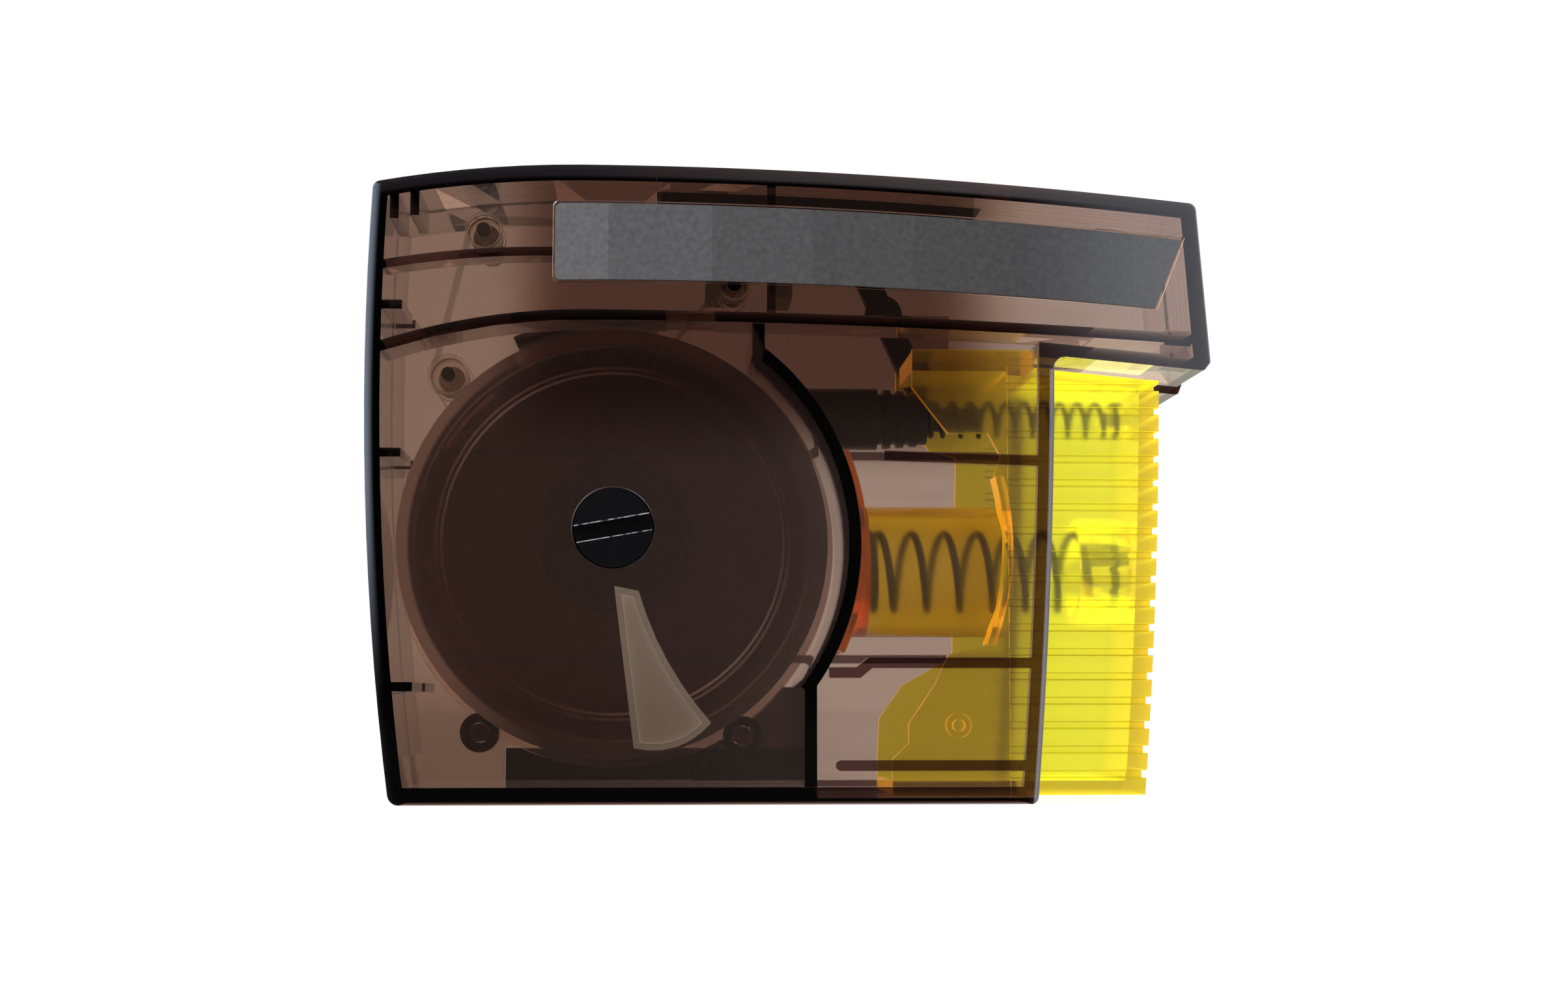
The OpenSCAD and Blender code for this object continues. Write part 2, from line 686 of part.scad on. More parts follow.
module front_ribs() {
    rib = plate - over / 2;
    seam_x0 = left_wall(seam_z(left_x)) + wall / 2;
    seam_x1 = tip_x - wall;
    layer(rib, seam_d1)
        seam_line(seam_x0, seam_x1);
    layer(rib, seam_far_d1) {
        seam_line(seam_x0, seam_notch[0]);
        seam_line(seam_notch[1], seam_x1);
    }
    layer(rib, plate + second_rib_deep)
        polygon(strip(bowed(
            [left_wall(bulge_z) + wall / 2, case_h - second_rib_drop - second_rib_fall],
            [crown_x - label_in, case_h - second_rib_drop], -second_rib_bow, edge_steps), stub_w));
    for (s = stub_shares)
        block(left_wall(case_h * s) + wall / 2, left_wall(case_h * s) + wall + stub_l, rib, stub_d1,
            case_h * s - stub_w / 2, case_h * s + stub_w / 2);
    for (x = top_stub_in)
        block(left_x + x, left_x + x + stub_w, rib, stub_d1,
            top_z(left_x + x) - wall - top_stub_l, top_z(left_x + x) - wall / 2);
    block(spine_x, spine_x + stub_w, rib, rail_top, seam_z(spine_x), top_z(spine_x) - wall / 2);
    block(tip_x - tip_block_in, tip_x - tip_block_in + stub_l + over, rib, seam_d1,
        under_z(tip_x, 0) + wall / 2, seam_z(tip_x) + rail_w);
    layer(rib, rail_top) {
        polygon(strip([[rail_x0 + over, upper_rail_z], [body_x - wall, upper_rail_z - rail_fall]], rail_w));
        polygon(strip([
            [lower_rail_x0, lower_rail_z - rail_step], [rail_step_x, lower_rail_z - rail_step],
            [rail_step_x + rail_step_l, lower_rail_z],
            [body_x - wall - body_lean / 2, lower_rail_z]], rail_w));
        polygon(strip([
            [floor_rail_x0, floor_rail_z], [right_wall(floor_rail_z) - wall / 2, floor_rail_z]], rail_w));
        translate([floor_rail_x0, floor_rail_z])
            circle(d = rail_w);
    }
    rod(return_roller[0], return_roller[1], rib, return_boss_d1, pin_r + wall / 2);
}
tip_block_in = 6.4;
return_boss_d1 = take_tape_d - tape_w / 2 - flange_t - clear * 2;

module front_cover() {
    color(smoke)
        difference() {
            union() {
                difference() {
                    layer(0, mid)
                        polygon(rounded(case_outline(0)));
                    layer(plate, mid + over)
                        hollow(0);
                }
                front_ribs();
            }
            rod(hub_x, hub_z, -over, plate + over, knob_r + clear);
            layer(-over, label_deep)
                label_2d(0);
            lever_gate(0);
            frame_hole();
            rod(return_roller[0], return_roller[1], plate, seam_d1 + over, pin_r + run / 2);
        }
}

// Ribs, pegs and bosses inside the rear cover
cradle_a = [82, 116];
cradle_back = 0.6;
cradle_d0 = mid + cradle_back;
peg_r = 1.35;
ear_r = 2.9;
ear_hole_r = 1.5;
ear_a = [234, 304.5];
ear_out = 1.2;
ear_reach = sheet_r + ear_out;
ear_t = 4;
rear_rail_in = 8;
low_boss_d0 = supply_tape_d + tape_w / 2 + flange_t + clear * 2;
high_boss_d0 = high_tape_d + tape_w / 2 + flange_t + clear * 2;
rocker_boss_d0 = rocker_d1 + clear;
rear_label_in = 18;
rear_label_up = 1.4;

module ear_places() {
    for (a = ear_a)
        translate([cart_x, 0, cart_z] + [ear_reach * cos(a), 0, ear_reach * sin(a)])
            children();
}
module rear_ribs() {
    rib = case_t - plate + over / 2;
    low_d = case_t - rail_top;
    for (z = [upper_rail_z + rail_w * 2, lower_rail_z + over])
        block(left_x + rear_rail_in, body_x - wall * 2, low_d, rib, z - stub_w / 2, z + stub_w / 2);
    translate([cart_x, 0, cart_z])
        layer(cradle_d0, rib)
            sector(divider_r0, divider_r1, cradle_a[0], cradle_a[1]);
    ear_places()
        rod(0, 0, sheet_d1 + clear, rib, peg_r);
    for (s = stub_shares)
        block(left_wall(case_h * s) + wall / 2, left_wall(case_h * s) + wall + stub_l, case_t - stub_d1, rib,
            case_h * s - stub_w / 2, case_h * s + stub_w / 2);
    rod(low_roller[0], low_roller[1], low_boss_d0, rib, pin_r + wall / 2);
    rod(high_roller[0], high_roller[1], high_boss_d0, rib, pin_r + wall / 2);
    rod(rocker_x, rocker_z, rocker_boss_d0, rib, rocker_pin_r + wall / 2);
}
module rear_cover() {
    color(smoke)
        difference() {
            union() {
                difference() {
                    layer(mid, case_t)
                        polygon(rounded(case_outline(rear_drop)));
                    layer(mid - over, case_t - plate)
                        hollow(rear_drop);
                }
                rear_ribs();
            }
            layer(case_t - label_deep, case_t + over)
                translate([left_x + rear_label_in, rear_label_up])
                    square([rear_label_w, rear_label_h]);
            lever_gate(rear_drop);
            frame_hole();
            rod(low_roller[0], low_roller[1], low_boss_d0 - over, case_t - plate, pin_r + run / 2);
            rod(high_roller[0], high_roller[1], high_boss_d0 - over, case_t - plate, pin_r + run / 2);
            rod(rocker_x, rocker_z, rocker_boss_d0 - over, case_t - plate, rocker_pin_r + run / 2);
        }
}
module front_label() {
    color("dimgray")
        layer(label_deep - label_t, label_deep)
            label_2d(clear);
}
module rear_label() {
    color(black)
        layer(case_t - label_deep, case_t - label_deep + label_t)
            translate([left_x + rear_label_in + clear, rear_label_up + clear])
                square([rear_label_w - 2 * clear, rear_label_h - 2 * clear]);
}
module divider_wall() {
    head_x = divider_r0 * cos(divider_a1);
    head_top = seam_z(cart_x + head_x + divider_t) - rail_w / 2 - snug - cart_z;
    leg_h = cart_z - base_wall + divider_r1 * sin(leg_a);
    rear = case_t - rail_top;
    color(dark_smoke)
        difference() {
            translate([cart_x, 0, cart_z]) {
                layer(plate, rear)
                    difference() {
                        union() {
                            sector(divider_r0, divider_r1, divider_a0, divider_a1);
                            translate([head_x, divider_r0 * sin(divider_a1)])
                                square([divider_t, head_top - divider_r0 * sin(divider_a1)]);
                            translate([leg_x1 - cart_x - divider_t, base_wall - cart_z])
                                square([divider_t, leg_h]);
                        }
                        circle(r = divider_r0);
                    }
                layer(rear - web_t, rear)
                    difference() {
                        translate([leg_x1 - cart_x - web_l, base_wall - cart_z])
                            square([web_l - divider_t / 2, leg_h]);
                        circle(r = sheet_r + clear);
                    }
            }
            ear_places()
                rod(0, 0, 0, case_t, peg_r + snug);
        }
}

// Cartridge
wedge_shares = [[0.005, -0.2], [0.101, -0.951], [0.461, -0.833], [0.121, -0.224]];
wedge_foot_share = 0.055;
wedge_bow = 1.2;
wedge_steps = 6;
wedge_rim = 1;
groove_in = [6, 2.2];
groove_ring_w = 0.5;
groove_ring_deep = 0.3;
slot_a = [58, 118];
tape_slot_a = [128, 150];

function wedge_point(i) = wedge_shares[i] * shell_r;
function wedge_line() = concat(
    [wedge_point(0)],
    bowed(wedge_point(1), wedge_point(2), shell_r * wedge_foot_share, wedge_steps),
    bowed(wedge_point(2), wedge_point(3), -wedge_bow, wedge_steps)
);
function distinct(p) = [for (i = [0:len(p) - 1]) if (i == 0 || norm(p[i] - p[i - 1]) > run) p[i]];
module wedge(grow) {
    polygon(drawn_in(distinct(wedge_line()), -grow));
}
module shell(face0, face1, wall0, wall1) {
    layer(face0, face1)
        circle(r = shell_r);
    layer(wall0, wall1)
        difference() {
            circle(r = shell_r);
            circle(r = shell_r - shell_t);
        }
}
module cartridge_front() {
    color(dark_smoke)
        translate([cart_x, 0, cart_z])
            difference() {
                shell(shell_d0, face_d0, shell_d0, sheet_d0);
                translate([0, 0, hub_rise])
                    rod(0, 0, shell_d0 - over, face_d0 + over, knob_r + clear);
                layer(shell_d0 - over, face_d0 + over)
                    wedge(0);
                for (r = [for (g = groove_in) shell_r - g])
                    layer(shell_d0 - over, shell_d0 + groove_ring_deep)
                        difference() {
                            circle(r = r);
                            circle(r = r - groove_ring_w);
                        }
                layer(face_d0, sheet_d0 + over)
                    sector(shell_r - 2 * shell_t, shell_r + over, slot_a[0], slot_a[1]);
            }
}
module cartridge_rear() {
    color(dark_smoke)
        difference() {
            union() {
                translate([cart_x, 0, cart_z])
                    difference() {
                        shell(face_d1, shell_d1, sheet_d1, shell_d1);
                        layer(sheet_d1 - over, face_d1)
                            sector(shell_r - 2 * shell_t, shell_r + over, tape_slot_a[0], tape_slot_a[1]);
                    }
                ear_places()
                    rod(0, 0, sheet_d1, sheet_d1 + ear_t, ear_r);
                rod(hub_x, hub_z, supply_d0, face_d1 + shell_t / 2, spindle_r);
                rod(hub_x, hub_z, take_d0 + hub_gap, face_d1, spindle_tip_r);
            }
            ear_places()
                rod(0, 0, sheet_d1 - over, sheet_d1 + ear_t + over, ear_hole_r);
            translate([cart_x, 0, cart_z])
                layer(sheet_d1 - over, face_d1)
                    difference() {
                        circle(r = shell_r - shell_t);
                        translate([0, hub_rise])
                            circle(r = spindle_r + over);
                    }
        }
}
module clear_sheet() {
    color(clear_plastic)
        difference() {
            rod(cart_x, cart_z, sheet_d0, sheet_d1, sheet_r);
            rod(hub_x, hub_z, sheet_d0 - over, sheet_d1 + over, spindle_tip_r + clear);
        }
}
module level_window() {
    color(clear_plastic)
        translate([cart_x, 0, cart_z])
            difference() {
                layer(shell_d0 - groove_ring_deep, face_d0)
                    wedge(-snug / 2);
                layer(shell_d0 - over, shell_d0 + groove_ring_deep)
                    wedge(-wedge_rim);
            }
}
module take_up_hub() {
    color(black)
        difference() {
            rod(hub_x, hub_z, take_d0, ratchet_d0, hub_r);
            rod(hub_x, hub_z, take_d0 - over, ratchet_d0 + over, spindle_tip_r + run);
        }
}
module take_up_knob() {
    color(black)
        difference() {
            rod(hub_x, hub_z, knob_gap, take_d0, knob_r);
            translate([hub_x, 0, hub_z])
                rotate([0, coin_slot_tilt, 0])
                    block(-knob_r - over, knob_r + over, knob_gap - over, knob_gap + coin_slot_deep,
                        -coin_slot_w / 2, coin_slot_w / 2);
        }
}
coin_slot_tilt = -10;
module wound_tape(d, r) {
    color(paper)
        difference() {
            rod(hub_x, hub_z, d - tape_w / 2, d + tape_w / 2, r);
            rod(hub_x, hub_z, d - tape_w, d + tape_w, hub_r + run);
        }
}
module take_up_tape() {
    wound_tape(take_tape_d, take_up_r);
}
module supply_tape() {
    wound_tape(supply_tape_d, supply_r);
}
module ratchet_wheel() {
    pitch_a = 360 / teeth;
    flank_a = feed_a + (feed_tooth_w / 2 + feed_lag) / feed_r * 180 / PI;
    root_r = ratchet_r - tooth_deep;
    tooth_a = tooth_share * pitch_a;
    points = [for (k = [0:teeth - 1])
        let (a = flank_a + k * pitch_a)
        each [
            polar(root_r, a), polar(ratchet_r, a),
            polar(ratchet_r, a + tooth_a), polar(root_r, a + tooth_a)
        ]];
    color(clear_plastic)
        difference() {
            translate([hub_x, 0, hub_z])
                layer(ratchet_d0, ratchet_d1)
                    polygon(points);
            rod(hub_x, hub_z, ratchet_d0 - over, ratchet_d1 + over, spindle_tip_r + run);
        }
}
module supply_hub() {
    color(black)
        difference() {
            rod(hub_x, hub_z, supply_d0, supply_d1, hub_r);
            rod(hub_x, hub_z, supply_d0 - over, supply_d1 + over, spindle_r + run);
        }
}
module brake_washer() {
    color("gray")
        difference() {
            rod(hub_x, hub_z, supply_d1, face_d1, hub_r - over);
            rod(hub_x, hub_z, supply_d1 - over, face_d1 + over, spindle_r + run);
        }
}

// Tape and its guides
module cleaning_tape() {
    n = len(tape_path);
    line = [for (p = tape_path) [p[0], p[1]]];
    side = [for (i = [0:n - 1]) left_of(unit(line[min(i + 1, n - 1)] - line[max(i - 1, 0)])) * tape_t / 2];
    points = [for (i = [0:n - 1]) for (s = [[1, -1], [1, 1], [-1, 1], [-1, -1]])
        [
            line[i][0] + side[i][0] * s[0],
            tape_path[i][2] - mid + tape_w / 2 * s[1],
            line[i][1] + side[i][1] * s[0]
        ]];
    walls = [for (i = [0:n - 2]) for (k = [0:3])
        let (a = 4 * i + k, b = 4 * i + (k + 1) % 4)
        each [[a, a + 4, b], [b, a + 4, b + 4]]];
    end = 4 * (n - 1);
    caps = [[0, 1, 2], [0, 2, 3], [end, end + 2, end + 1], [end, end + 3, end + 2]];
    color(paper)
        polyhedron(points, concat(walls, caps));
}
module roller(place, r, d) {
    half = tape_w / 2 + flange_t / 2;
    color(clear_plastic)
        difference() {
            union() {
                rod(place[0], place[1], d - half, d + half, r);
                for (s = [-1, 1])
                    rod(place[0], place[1], d + s * (half + flange_t / 2) - flange_t / 2,
                        d + s * (half + flange_t / 2) + flange_t / 2, r + flange_h);
            }
            rod(place[0], place[1], d - half - flange_t - over, d + half + flange_t + over, pin_r + run);
        }
}
module lower_guide_roller() {
    roller(low_roller, low_roller_r, supply_tape_d);
}
module upper_guide_roller() {
    roller(high_roller, high_roller_r, high_tape_d);
}
module return_guide_roller() {
    roller(return_roller, return_roller_r, take_tape_d);
}
module guide_pins() {
    half = tape_w / 2 + flange_t * 3 / 2;
    color(steel) {
        rod(low_roller[0], low_roller[1], supply_tape_d - half - over, case_t - plate, pin_r);
        rod(high_roller[0], high_roller[1], high_tape_d - half - over, case_t - plate, pin_r);
        rod(return_roller[0], return_roller[1], plate, take_tape_d + half, pin_r);
    }
}

// Lever
module grip_outline(inner) {
    w = inner ? lever_wall : 0;
    right = [for (z = steps(lever_lift, grip_top(body_x + grip_out), edge_steps))
        [grip_x(z) - w - (inner ? groove_deep : 0), z + (z == lever_lift ? w : 0)]];
    last = right[len(right) - 1];
    left = inner ? grip_x0 - over : grip_x0;
    low = concat([[left, lever_lift + w]], [for (i = [0:len(right) - 2]) right[i]]);
    t = inner ? grip_top_t : 0;
    polygon(concat(low, [[last[0], grip_top(last[0]) - t]], [[left, grip_top(left) - t]]));
}
module grip_grooves() {
    for (k = [0:floor((grip_top(body_x + grip_out) - lever_lift) / rib_pitch) - 1])
        let (z = lever_lift + tooth_w + k * rib_pitch) {
            block(grip_x(z) - groove_deep, tip_x, lever_d0 - over, lever_d1 + over, z, z + groove_w);
            block(grip_x0 - over, tip_x, lever_d0 - over, lever_d0 + groove_face, z, z + groove_w);
            block(grip_x0 - over, tip_x, lever_d1 - groove_face, lever_d1 + over, z, z + groove_w);
        }
}
module saddle_band() {
    edge = bowed(wing_point(tail_shares[0]), wing_point(wing_heel), saddle_bow, edge_steps);
    last = len(edge) - 1;
    polygon(concat(
        [for (p = edge) p + [saddle_in + saddle_t, 0]],
        [for (i = [last:-1:0]) edge[i] + [saddle_in, 0]]
    ));
}
module front_wing() {
    edge = bowed(wing_point(wing_heel), wing_point(tail_shares[0]), -saddle_bow, edge_steps);
    polygon(concat(
        [[stop_x, lever_lift], [stop_x, wing_top]],
        [for (s = wing_shares) wing_point(s)],
        [for (i = [1:edge_steps - 1]) edge[i]],
        [for (s = tail_shares) wing_point(s)]
    ));
}
module rear_wing() {
    polygon(concat([[stop_x, lever_lift], [stop_x, wing_top]], [for (s = rear_wing_shares) wing_point(s)]));
}
module spring_cup(x0, x1, z, r, t) {
    difference() {
        cross_rod(x0, x1, z, r + t);
        cross_rod(x0 - over, x1 - spring_seat, z, r);
    }
}
module lever() {
    bottom_x = body_x - wing_reach + snug;
    wing_x = wing_point(wing_shares[0])[0] + snug;
    wing_d0 = lever_d0 + groove_face + snug;
    wing_d1 = lever_d1 - groove_face - snug;
    peg = rocker_low_end(rocker_swing / 2);
    peg_low = rocker_low_end(0);
    color(yellow)
        difference() {
            union() {
                difference() {
                    layer(lever_d0, lever_d1)
                        grip_outline(false);
                    layer(lever_d0 + lever_wall, lever_d1 - lever_wall)
                        grip_outline(true);
                    grip_grooves();
                }
                layer(wing_d0, lever_d0 + lever_wall)
                    front_wing();
                layer(lever_d1 - lever_wall, wing_d1)
                    rear_wing();
                block(bottom_x, grip_x0 + over, wing_d0 + snug, wing_d1 - snug,
                    lever_lift, lever_lift + lever_wall);
                block(wing_x, stop_x - snug, wing_d0 + snug, frame_d1 - lever_wall,
                    wing_top - lever_wall - over, wing_top - snug);
                layer(lever_d0 + lever_wall - over / 2, lever_d0 + lever_wall + saddle_deep)
                    saddle_band();
                spring_cup(seat_x - cup_l, seat_x + spring_seat, spring_z, main_spring_r + clear, cup_wall);
                cross_rod(upper_seat_x, upper_seat_x + spring_seat + over, upper_z, upper_spring_r);
                cross_rod(upper_seat_x - cup_l / 2, upper_seat_x + over, upper_z,
                    upper_spring_r - upper_wire - clear);
                rod(body_x - wing_reach * boss_shares[0], lever_lift + wing_h * boss_shares[1],
                    wing_d0 + snug, lever_d0 + lever_wall * 2, boss_r);
            }
            cross_rod(bottom_x, tube_x1 + clear, spring_z, tube_r + clear);
            rod(body_x - wing_reach * boss_shares[0], lever_lift + wing_h * boss_shares[1],
                lever_d0 + lever_wall / 2, lever_d0 + lever_wall * 3, boss_r / 2);
            translate([0, 0, (peg[1] + peg_low[1]) / 2])
                block(peg[0] - rocker_peg_r - clear, peg[0] + rocker_peg_r + clear,
                    lever_d1 - lever_wall * 2, lever_d1 + over, -rocker_peg_r - over, rocker_peg_r + over);
        }
}
boss_shares = [0.583, 0.154];
boss_r = 1.8;

module feed_arm() {
    wing_x = wing_point(wing_shares[0])[0];
    color(smoke)
        layer(arm_d0, arm_d1)
            polygon([
                [feed_x - feed_tooth_w / 2, arm_z0 + arm_h], [feed_x - feed_tooth_w / 2, feed_tip_z],
                [feed_x + feed_tooth_w / 2, feed_tip_z], [feed_x + feed_tooth_w / 2, arm_z0],
                [wing_x + clear, arm_z0], [wing_x + clear, wing_top],
                [wing_x + clear + arm_foot_l, wing_top], [wing_x + clear + arm_foot_l, arm_z0 + arm_h]
            ]);
}

// Springs and what holds them
module spring_tube() {
    a0 = asin((lower_rail_z + rail_w - cart_z) / guide_r1);
    a1 = asin((upper_z - post_r[0] - flange_gap - cart_z) / guide_r1);
    color(yellow)
        difference() {
            union() {
                translate([cart_x, 0, cart_z])
                    layer(lever_d0 + lever_wall + clear, lever_d1 - lever_wall - clear)
                        sector(guide_r0, guide_r1, a0, a1);
                cross_rod(cart_x + guide_r0 * cos(a0), tube_x1, spring_z, tube_r);
            }
            cross_rod(main_x0, tube_x1 + over, spring_z, tube_bore_r);
            rod(cart_x, cart_z, 0, case_t, guide_r0);
        }
}
module spring_post() {
    body_l = post_reach * post_share;
    x0 = post_shoulder - body_l;
    color(black)
        difference() {
            union() {
                cross_rod(cart_x + divider_r0 * cos(divider_a1), x0, upper_z, post_r[0]);
                cross_rod(x0 - over, post_shoulder, upper_z, post_r[1]);
                cross_rod(post_shoulder - over, post_shoulder + body_l, upper_z, post_r[2]);
                for (k = [0:post_rings - 1])
                    let (x = x0 + k * post_ring_pitch)
                        cross_rod(x, x + over, upper_z, post_r[0] - k * post_ring_step);
            }
            rod(cart_x, cart_z, 0, case_t, divider_r1 + run);
        }
}
module main_spring() {
    color(steel)
        coil(main_line, main_r, main_wire, spring_z);
}
module upper_spring() {
    color(steel)
        coil(upper_line, upper_r, upper_wire, upper_z);
}

// Head
module in_head() {
    translate([frame_x, 0, top_z(frame_x)])
        rotate([0, frame_tilt, 0])
            children();
}
module window_frame() {
    x0 = frame_x - frame_l / 2;
    x1 = frame_x + frame_l / 2;
    top = [for (x = steps(x1, x0, edge_steps)) [x, top_z(x)]];
    low = [for (x = steps(x0, x1, edge_steps)) [x, top_z(x) - wall]];
    leg = frame_l / 2 - over;
    seat = shutter_z0 - clear;
    sole = seat - frame_leg_t;
    color(black)
        difference() {
            union() {
                layer(frame_d0, frame_d1)
                    polygon(concat(low, top));
                in_head() {
                    block(-leg, leg, frame_d0, frame_d0 + frame_leg_t, sole, -wall / 2);
                    block(-leg, leg, frame_d0, shutter_d0 + over, sole, seat);
                    block(-leg, 0, frame_d1 - frame_leg_t, frame_d1, sole, -wall / 2);
                    block(-leg, 0, shutter_d1 - over, frame_d1, sole, seat);
                }
            }
            in_head()
                for (s = [-1, 1])
                    block(s * window_pitch / 2 - window_l / 2, s * window_pitch / 2 + window_l / 2,
                        mid - window_w / 2, mid + window_w / 2, -wall * 2, wall * 2);
        }
}
module shutter() {
    rest = -shutter_stroke;
    x0 = rest - window_pitch / 2 - window_l / 2 - shutter_edge;
    x1 = window_pitch / 2 + window_l / 2 + shutter_edge + clear;
    peg = rocker_high_end(rocker_swing / 2);
    tab_x = (peg[0] - frame_x) / cos(frame_tilt);
    color(black)
        difference() {
            union() {
                in_head() {
                    block(x0, x1, shutter_d0, shutter_d1, shutter_z0, shutter_z1);
                    block(tab_x - tab_w / 2, tab_x + tab_w / 2, shutter_d1 - over, tab_d1,
                        shutter_z0, shutter_z1);
                }
                block(peg[0] - tab_w / 2, peg[0] + tab_w / 2, tab_d0, tab_d1,
                    peg[1] - rocker_peg_r - over, top_z(frame_x) + shutter_z0 + snug);
            }
            in_head()
                for (s = [-1, 1])
                    let (x = rest + s * window_pitch / 2)
                        block(x - window_l / 2, x + window_l / 2,
                            mid - window_w / 2, mid + window_w / 2, shutter_z0 - over, shutter_z1 + over);
            block(peg[0] - rocker_peg_r - clear, peg[0] + rocker_peg_r + clear, tab_d0 - over, tab_d1 + over,
                peg[1] - rocker_peg_r - over * 2, rocker_high_end(0)[1] + rocker_peg_r + clear);
        }
}
module tape_platform() {
    x = platform_l / 2 - nose_r;
    color("silver")
        in_head()
            difference() {
                union() {
                    block(-x, x, platform_d0, platform_d1, pad_z1 - 2 * nose_r, pad_z1);
                    for (s = [-1, 1])
                        rod(s * x, pad_z1 - nose_r, platform_d0, platform_d1, nose_r);
                    for (b = bracket_x)
                        block(b, b + bracket_w, platform_d1 - over, case_t - plate,
                            pad_z1 - 2 * nose_r, pad_z1 - pad_t);
                    for (b = bracket_x)
                        block(b, b + bracket_w, platform_d1 - bracket_w, case_t - plate,
                            pad_z1 - 2 * nose_r - bracket_l, pad_z1 - 2 * nose_r + over / 2);
                }
                block(-pad_l / 2, pad_l / 2, platform_d0 - over, platform_d1 + over,
                    pad_z1 - pad_t, pad_z1 + over);
            }
}
bracket_x = [-16, -6.2];
bracket_w = 3.4;
bracket_l = 6;
module foam_pad() {
    color("lightgray")
        in_head()
            block(-pad_l / 2 + snug, pad_l / 2 - snug, platform_d0, platform_d1, pad_z1 - pad_t, pad_z1);
}
module shutter_rocker() {
    a = rocker_swing / 2;
    low = rocker_low_end(a);
    high = rocker_high_end(a);
    color(black)
        difference() {
            union() {
                layer(rocker_d0, rocker_d1) {
                    polygon(strip([low, high], rocker_w));
                    for (p = [low, high])
                        translate(p)
                            circle(d = rocker_w);
                    translate([rocker_x, rocker_z])
                        circle(r = rocker_hub_r);
                }
                rod(low[0], low[1], rocker_d0 + over, lever_d1 - groove_face, rocker_peg_r);
                rod(high[0], high[1], rocker_d0 + over, tab_d1 - clear, rocker_peg_r);
            }
            rod(rocker_x, rocker_z, rocker_d0 - over, rocker_d1 + over, rocker_pin_r + run);
        }
}
module rocker_pin() {
    color(steel) {
        rod(rocker_x, rocker_z, rocker_d0 - clear / 2, case_t - plate, rocker_pin_r);
        rod(rocker_x, rocker_z, rocker_d0 - clear / 2 - pin_head_t, rocker_d0 - clear / 2,
            rocker_pin_r + over);
    }
}

front_cover();
rear_cover();
front_label();
rear_label();
divider_wall();
cartridge_front();
cartridge_rear();
clear_sheet();
level_window();
take_up_hub();
take_up_knob();
take_up_tape();
ratchet_wheel();
supply_hub();
supply_tape();
brake_washer();
cleaning_tape();
lower_guide_roller();
upper_guide_roller();
return_guide_roller();
guide_pins();
lever();
feed_arm();
main_spring();
upper_spring();
spring_tube();
spring_post();
tape_platform();
foam_pad();
window_frame();
shutter();
shutter_rocker();
rocker_pin();
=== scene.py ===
import json
from math import cos, log, pi, radians, sin

import bmesh
import bpy
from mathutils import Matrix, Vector


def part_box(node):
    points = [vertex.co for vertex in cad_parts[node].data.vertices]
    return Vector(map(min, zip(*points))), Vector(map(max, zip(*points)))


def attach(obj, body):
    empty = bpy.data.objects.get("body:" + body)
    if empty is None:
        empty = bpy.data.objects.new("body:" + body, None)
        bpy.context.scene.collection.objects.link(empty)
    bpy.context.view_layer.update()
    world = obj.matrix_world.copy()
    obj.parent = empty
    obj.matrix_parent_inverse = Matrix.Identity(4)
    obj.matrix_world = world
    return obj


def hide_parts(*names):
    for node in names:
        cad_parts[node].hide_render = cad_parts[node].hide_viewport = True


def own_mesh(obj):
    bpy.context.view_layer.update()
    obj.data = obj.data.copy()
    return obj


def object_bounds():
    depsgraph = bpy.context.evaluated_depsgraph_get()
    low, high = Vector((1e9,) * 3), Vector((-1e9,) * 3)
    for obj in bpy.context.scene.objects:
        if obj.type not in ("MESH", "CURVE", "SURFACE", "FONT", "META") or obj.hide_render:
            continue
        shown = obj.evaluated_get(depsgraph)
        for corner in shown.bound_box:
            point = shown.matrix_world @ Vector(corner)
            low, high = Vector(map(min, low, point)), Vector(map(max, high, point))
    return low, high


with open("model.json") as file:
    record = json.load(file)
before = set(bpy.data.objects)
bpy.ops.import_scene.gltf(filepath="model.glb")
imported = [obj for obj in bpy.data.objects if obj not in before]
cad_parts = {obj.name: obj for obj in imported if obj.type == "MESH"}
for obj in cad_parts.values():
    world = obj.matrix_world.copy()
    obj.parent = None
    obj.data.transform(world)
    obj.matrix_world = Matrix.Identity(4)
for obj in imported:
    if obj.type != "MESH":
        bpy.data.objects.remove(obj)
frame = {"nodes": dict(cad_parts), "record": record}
nodes = frame["nodes"]
cad_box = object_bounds()

# The camera stands low in front of the cassette and looks slightly up and to the right, as the photograph
# does. Its place and angle come from where the edges that run front to back meet in the photograph.
MM = 0.001
FRONT = cad_box[0].y
PHOTO_WIDTH_PX = 2408
FOCAL_PX = 3315
SENSOR = 36.0
PITCH = radians(5.471)
YAW = radians(3.077)
EYE_RIGHT = -17.54 * MM
EYE_AHEAD = 305.0 * MM
EYE_UP = 14.58 * MM
camera_data = bpy.data.cameras.new("camera")
camera_data.sensor_width = SENSOR
camera_data.lens = FOCAL_PX / PHOTO_WIDTH_PX * SENSOR
camera_data.clip_start = 0.01
camera = bpy.data.objects.new("camera", camera_data)
bpy.context.scene.collection.objects.link(camera)
camera.location = (EYE_RIGHT, FRONT - EYE_AHEAD, EYE_UP)
looking = Vector((sin(YAW) * cos(PITCH), cos(YAW) * cos(PITCH), sin(PITCH)))
camera.rotation_mode = "QUATERNION"
camera.rotation_quaternion = looking.to_track_quat("-Z", "Y")
bpy.context.scene.camera = camera
bpy.context.scene.view_settings.view_transform = "Standard"


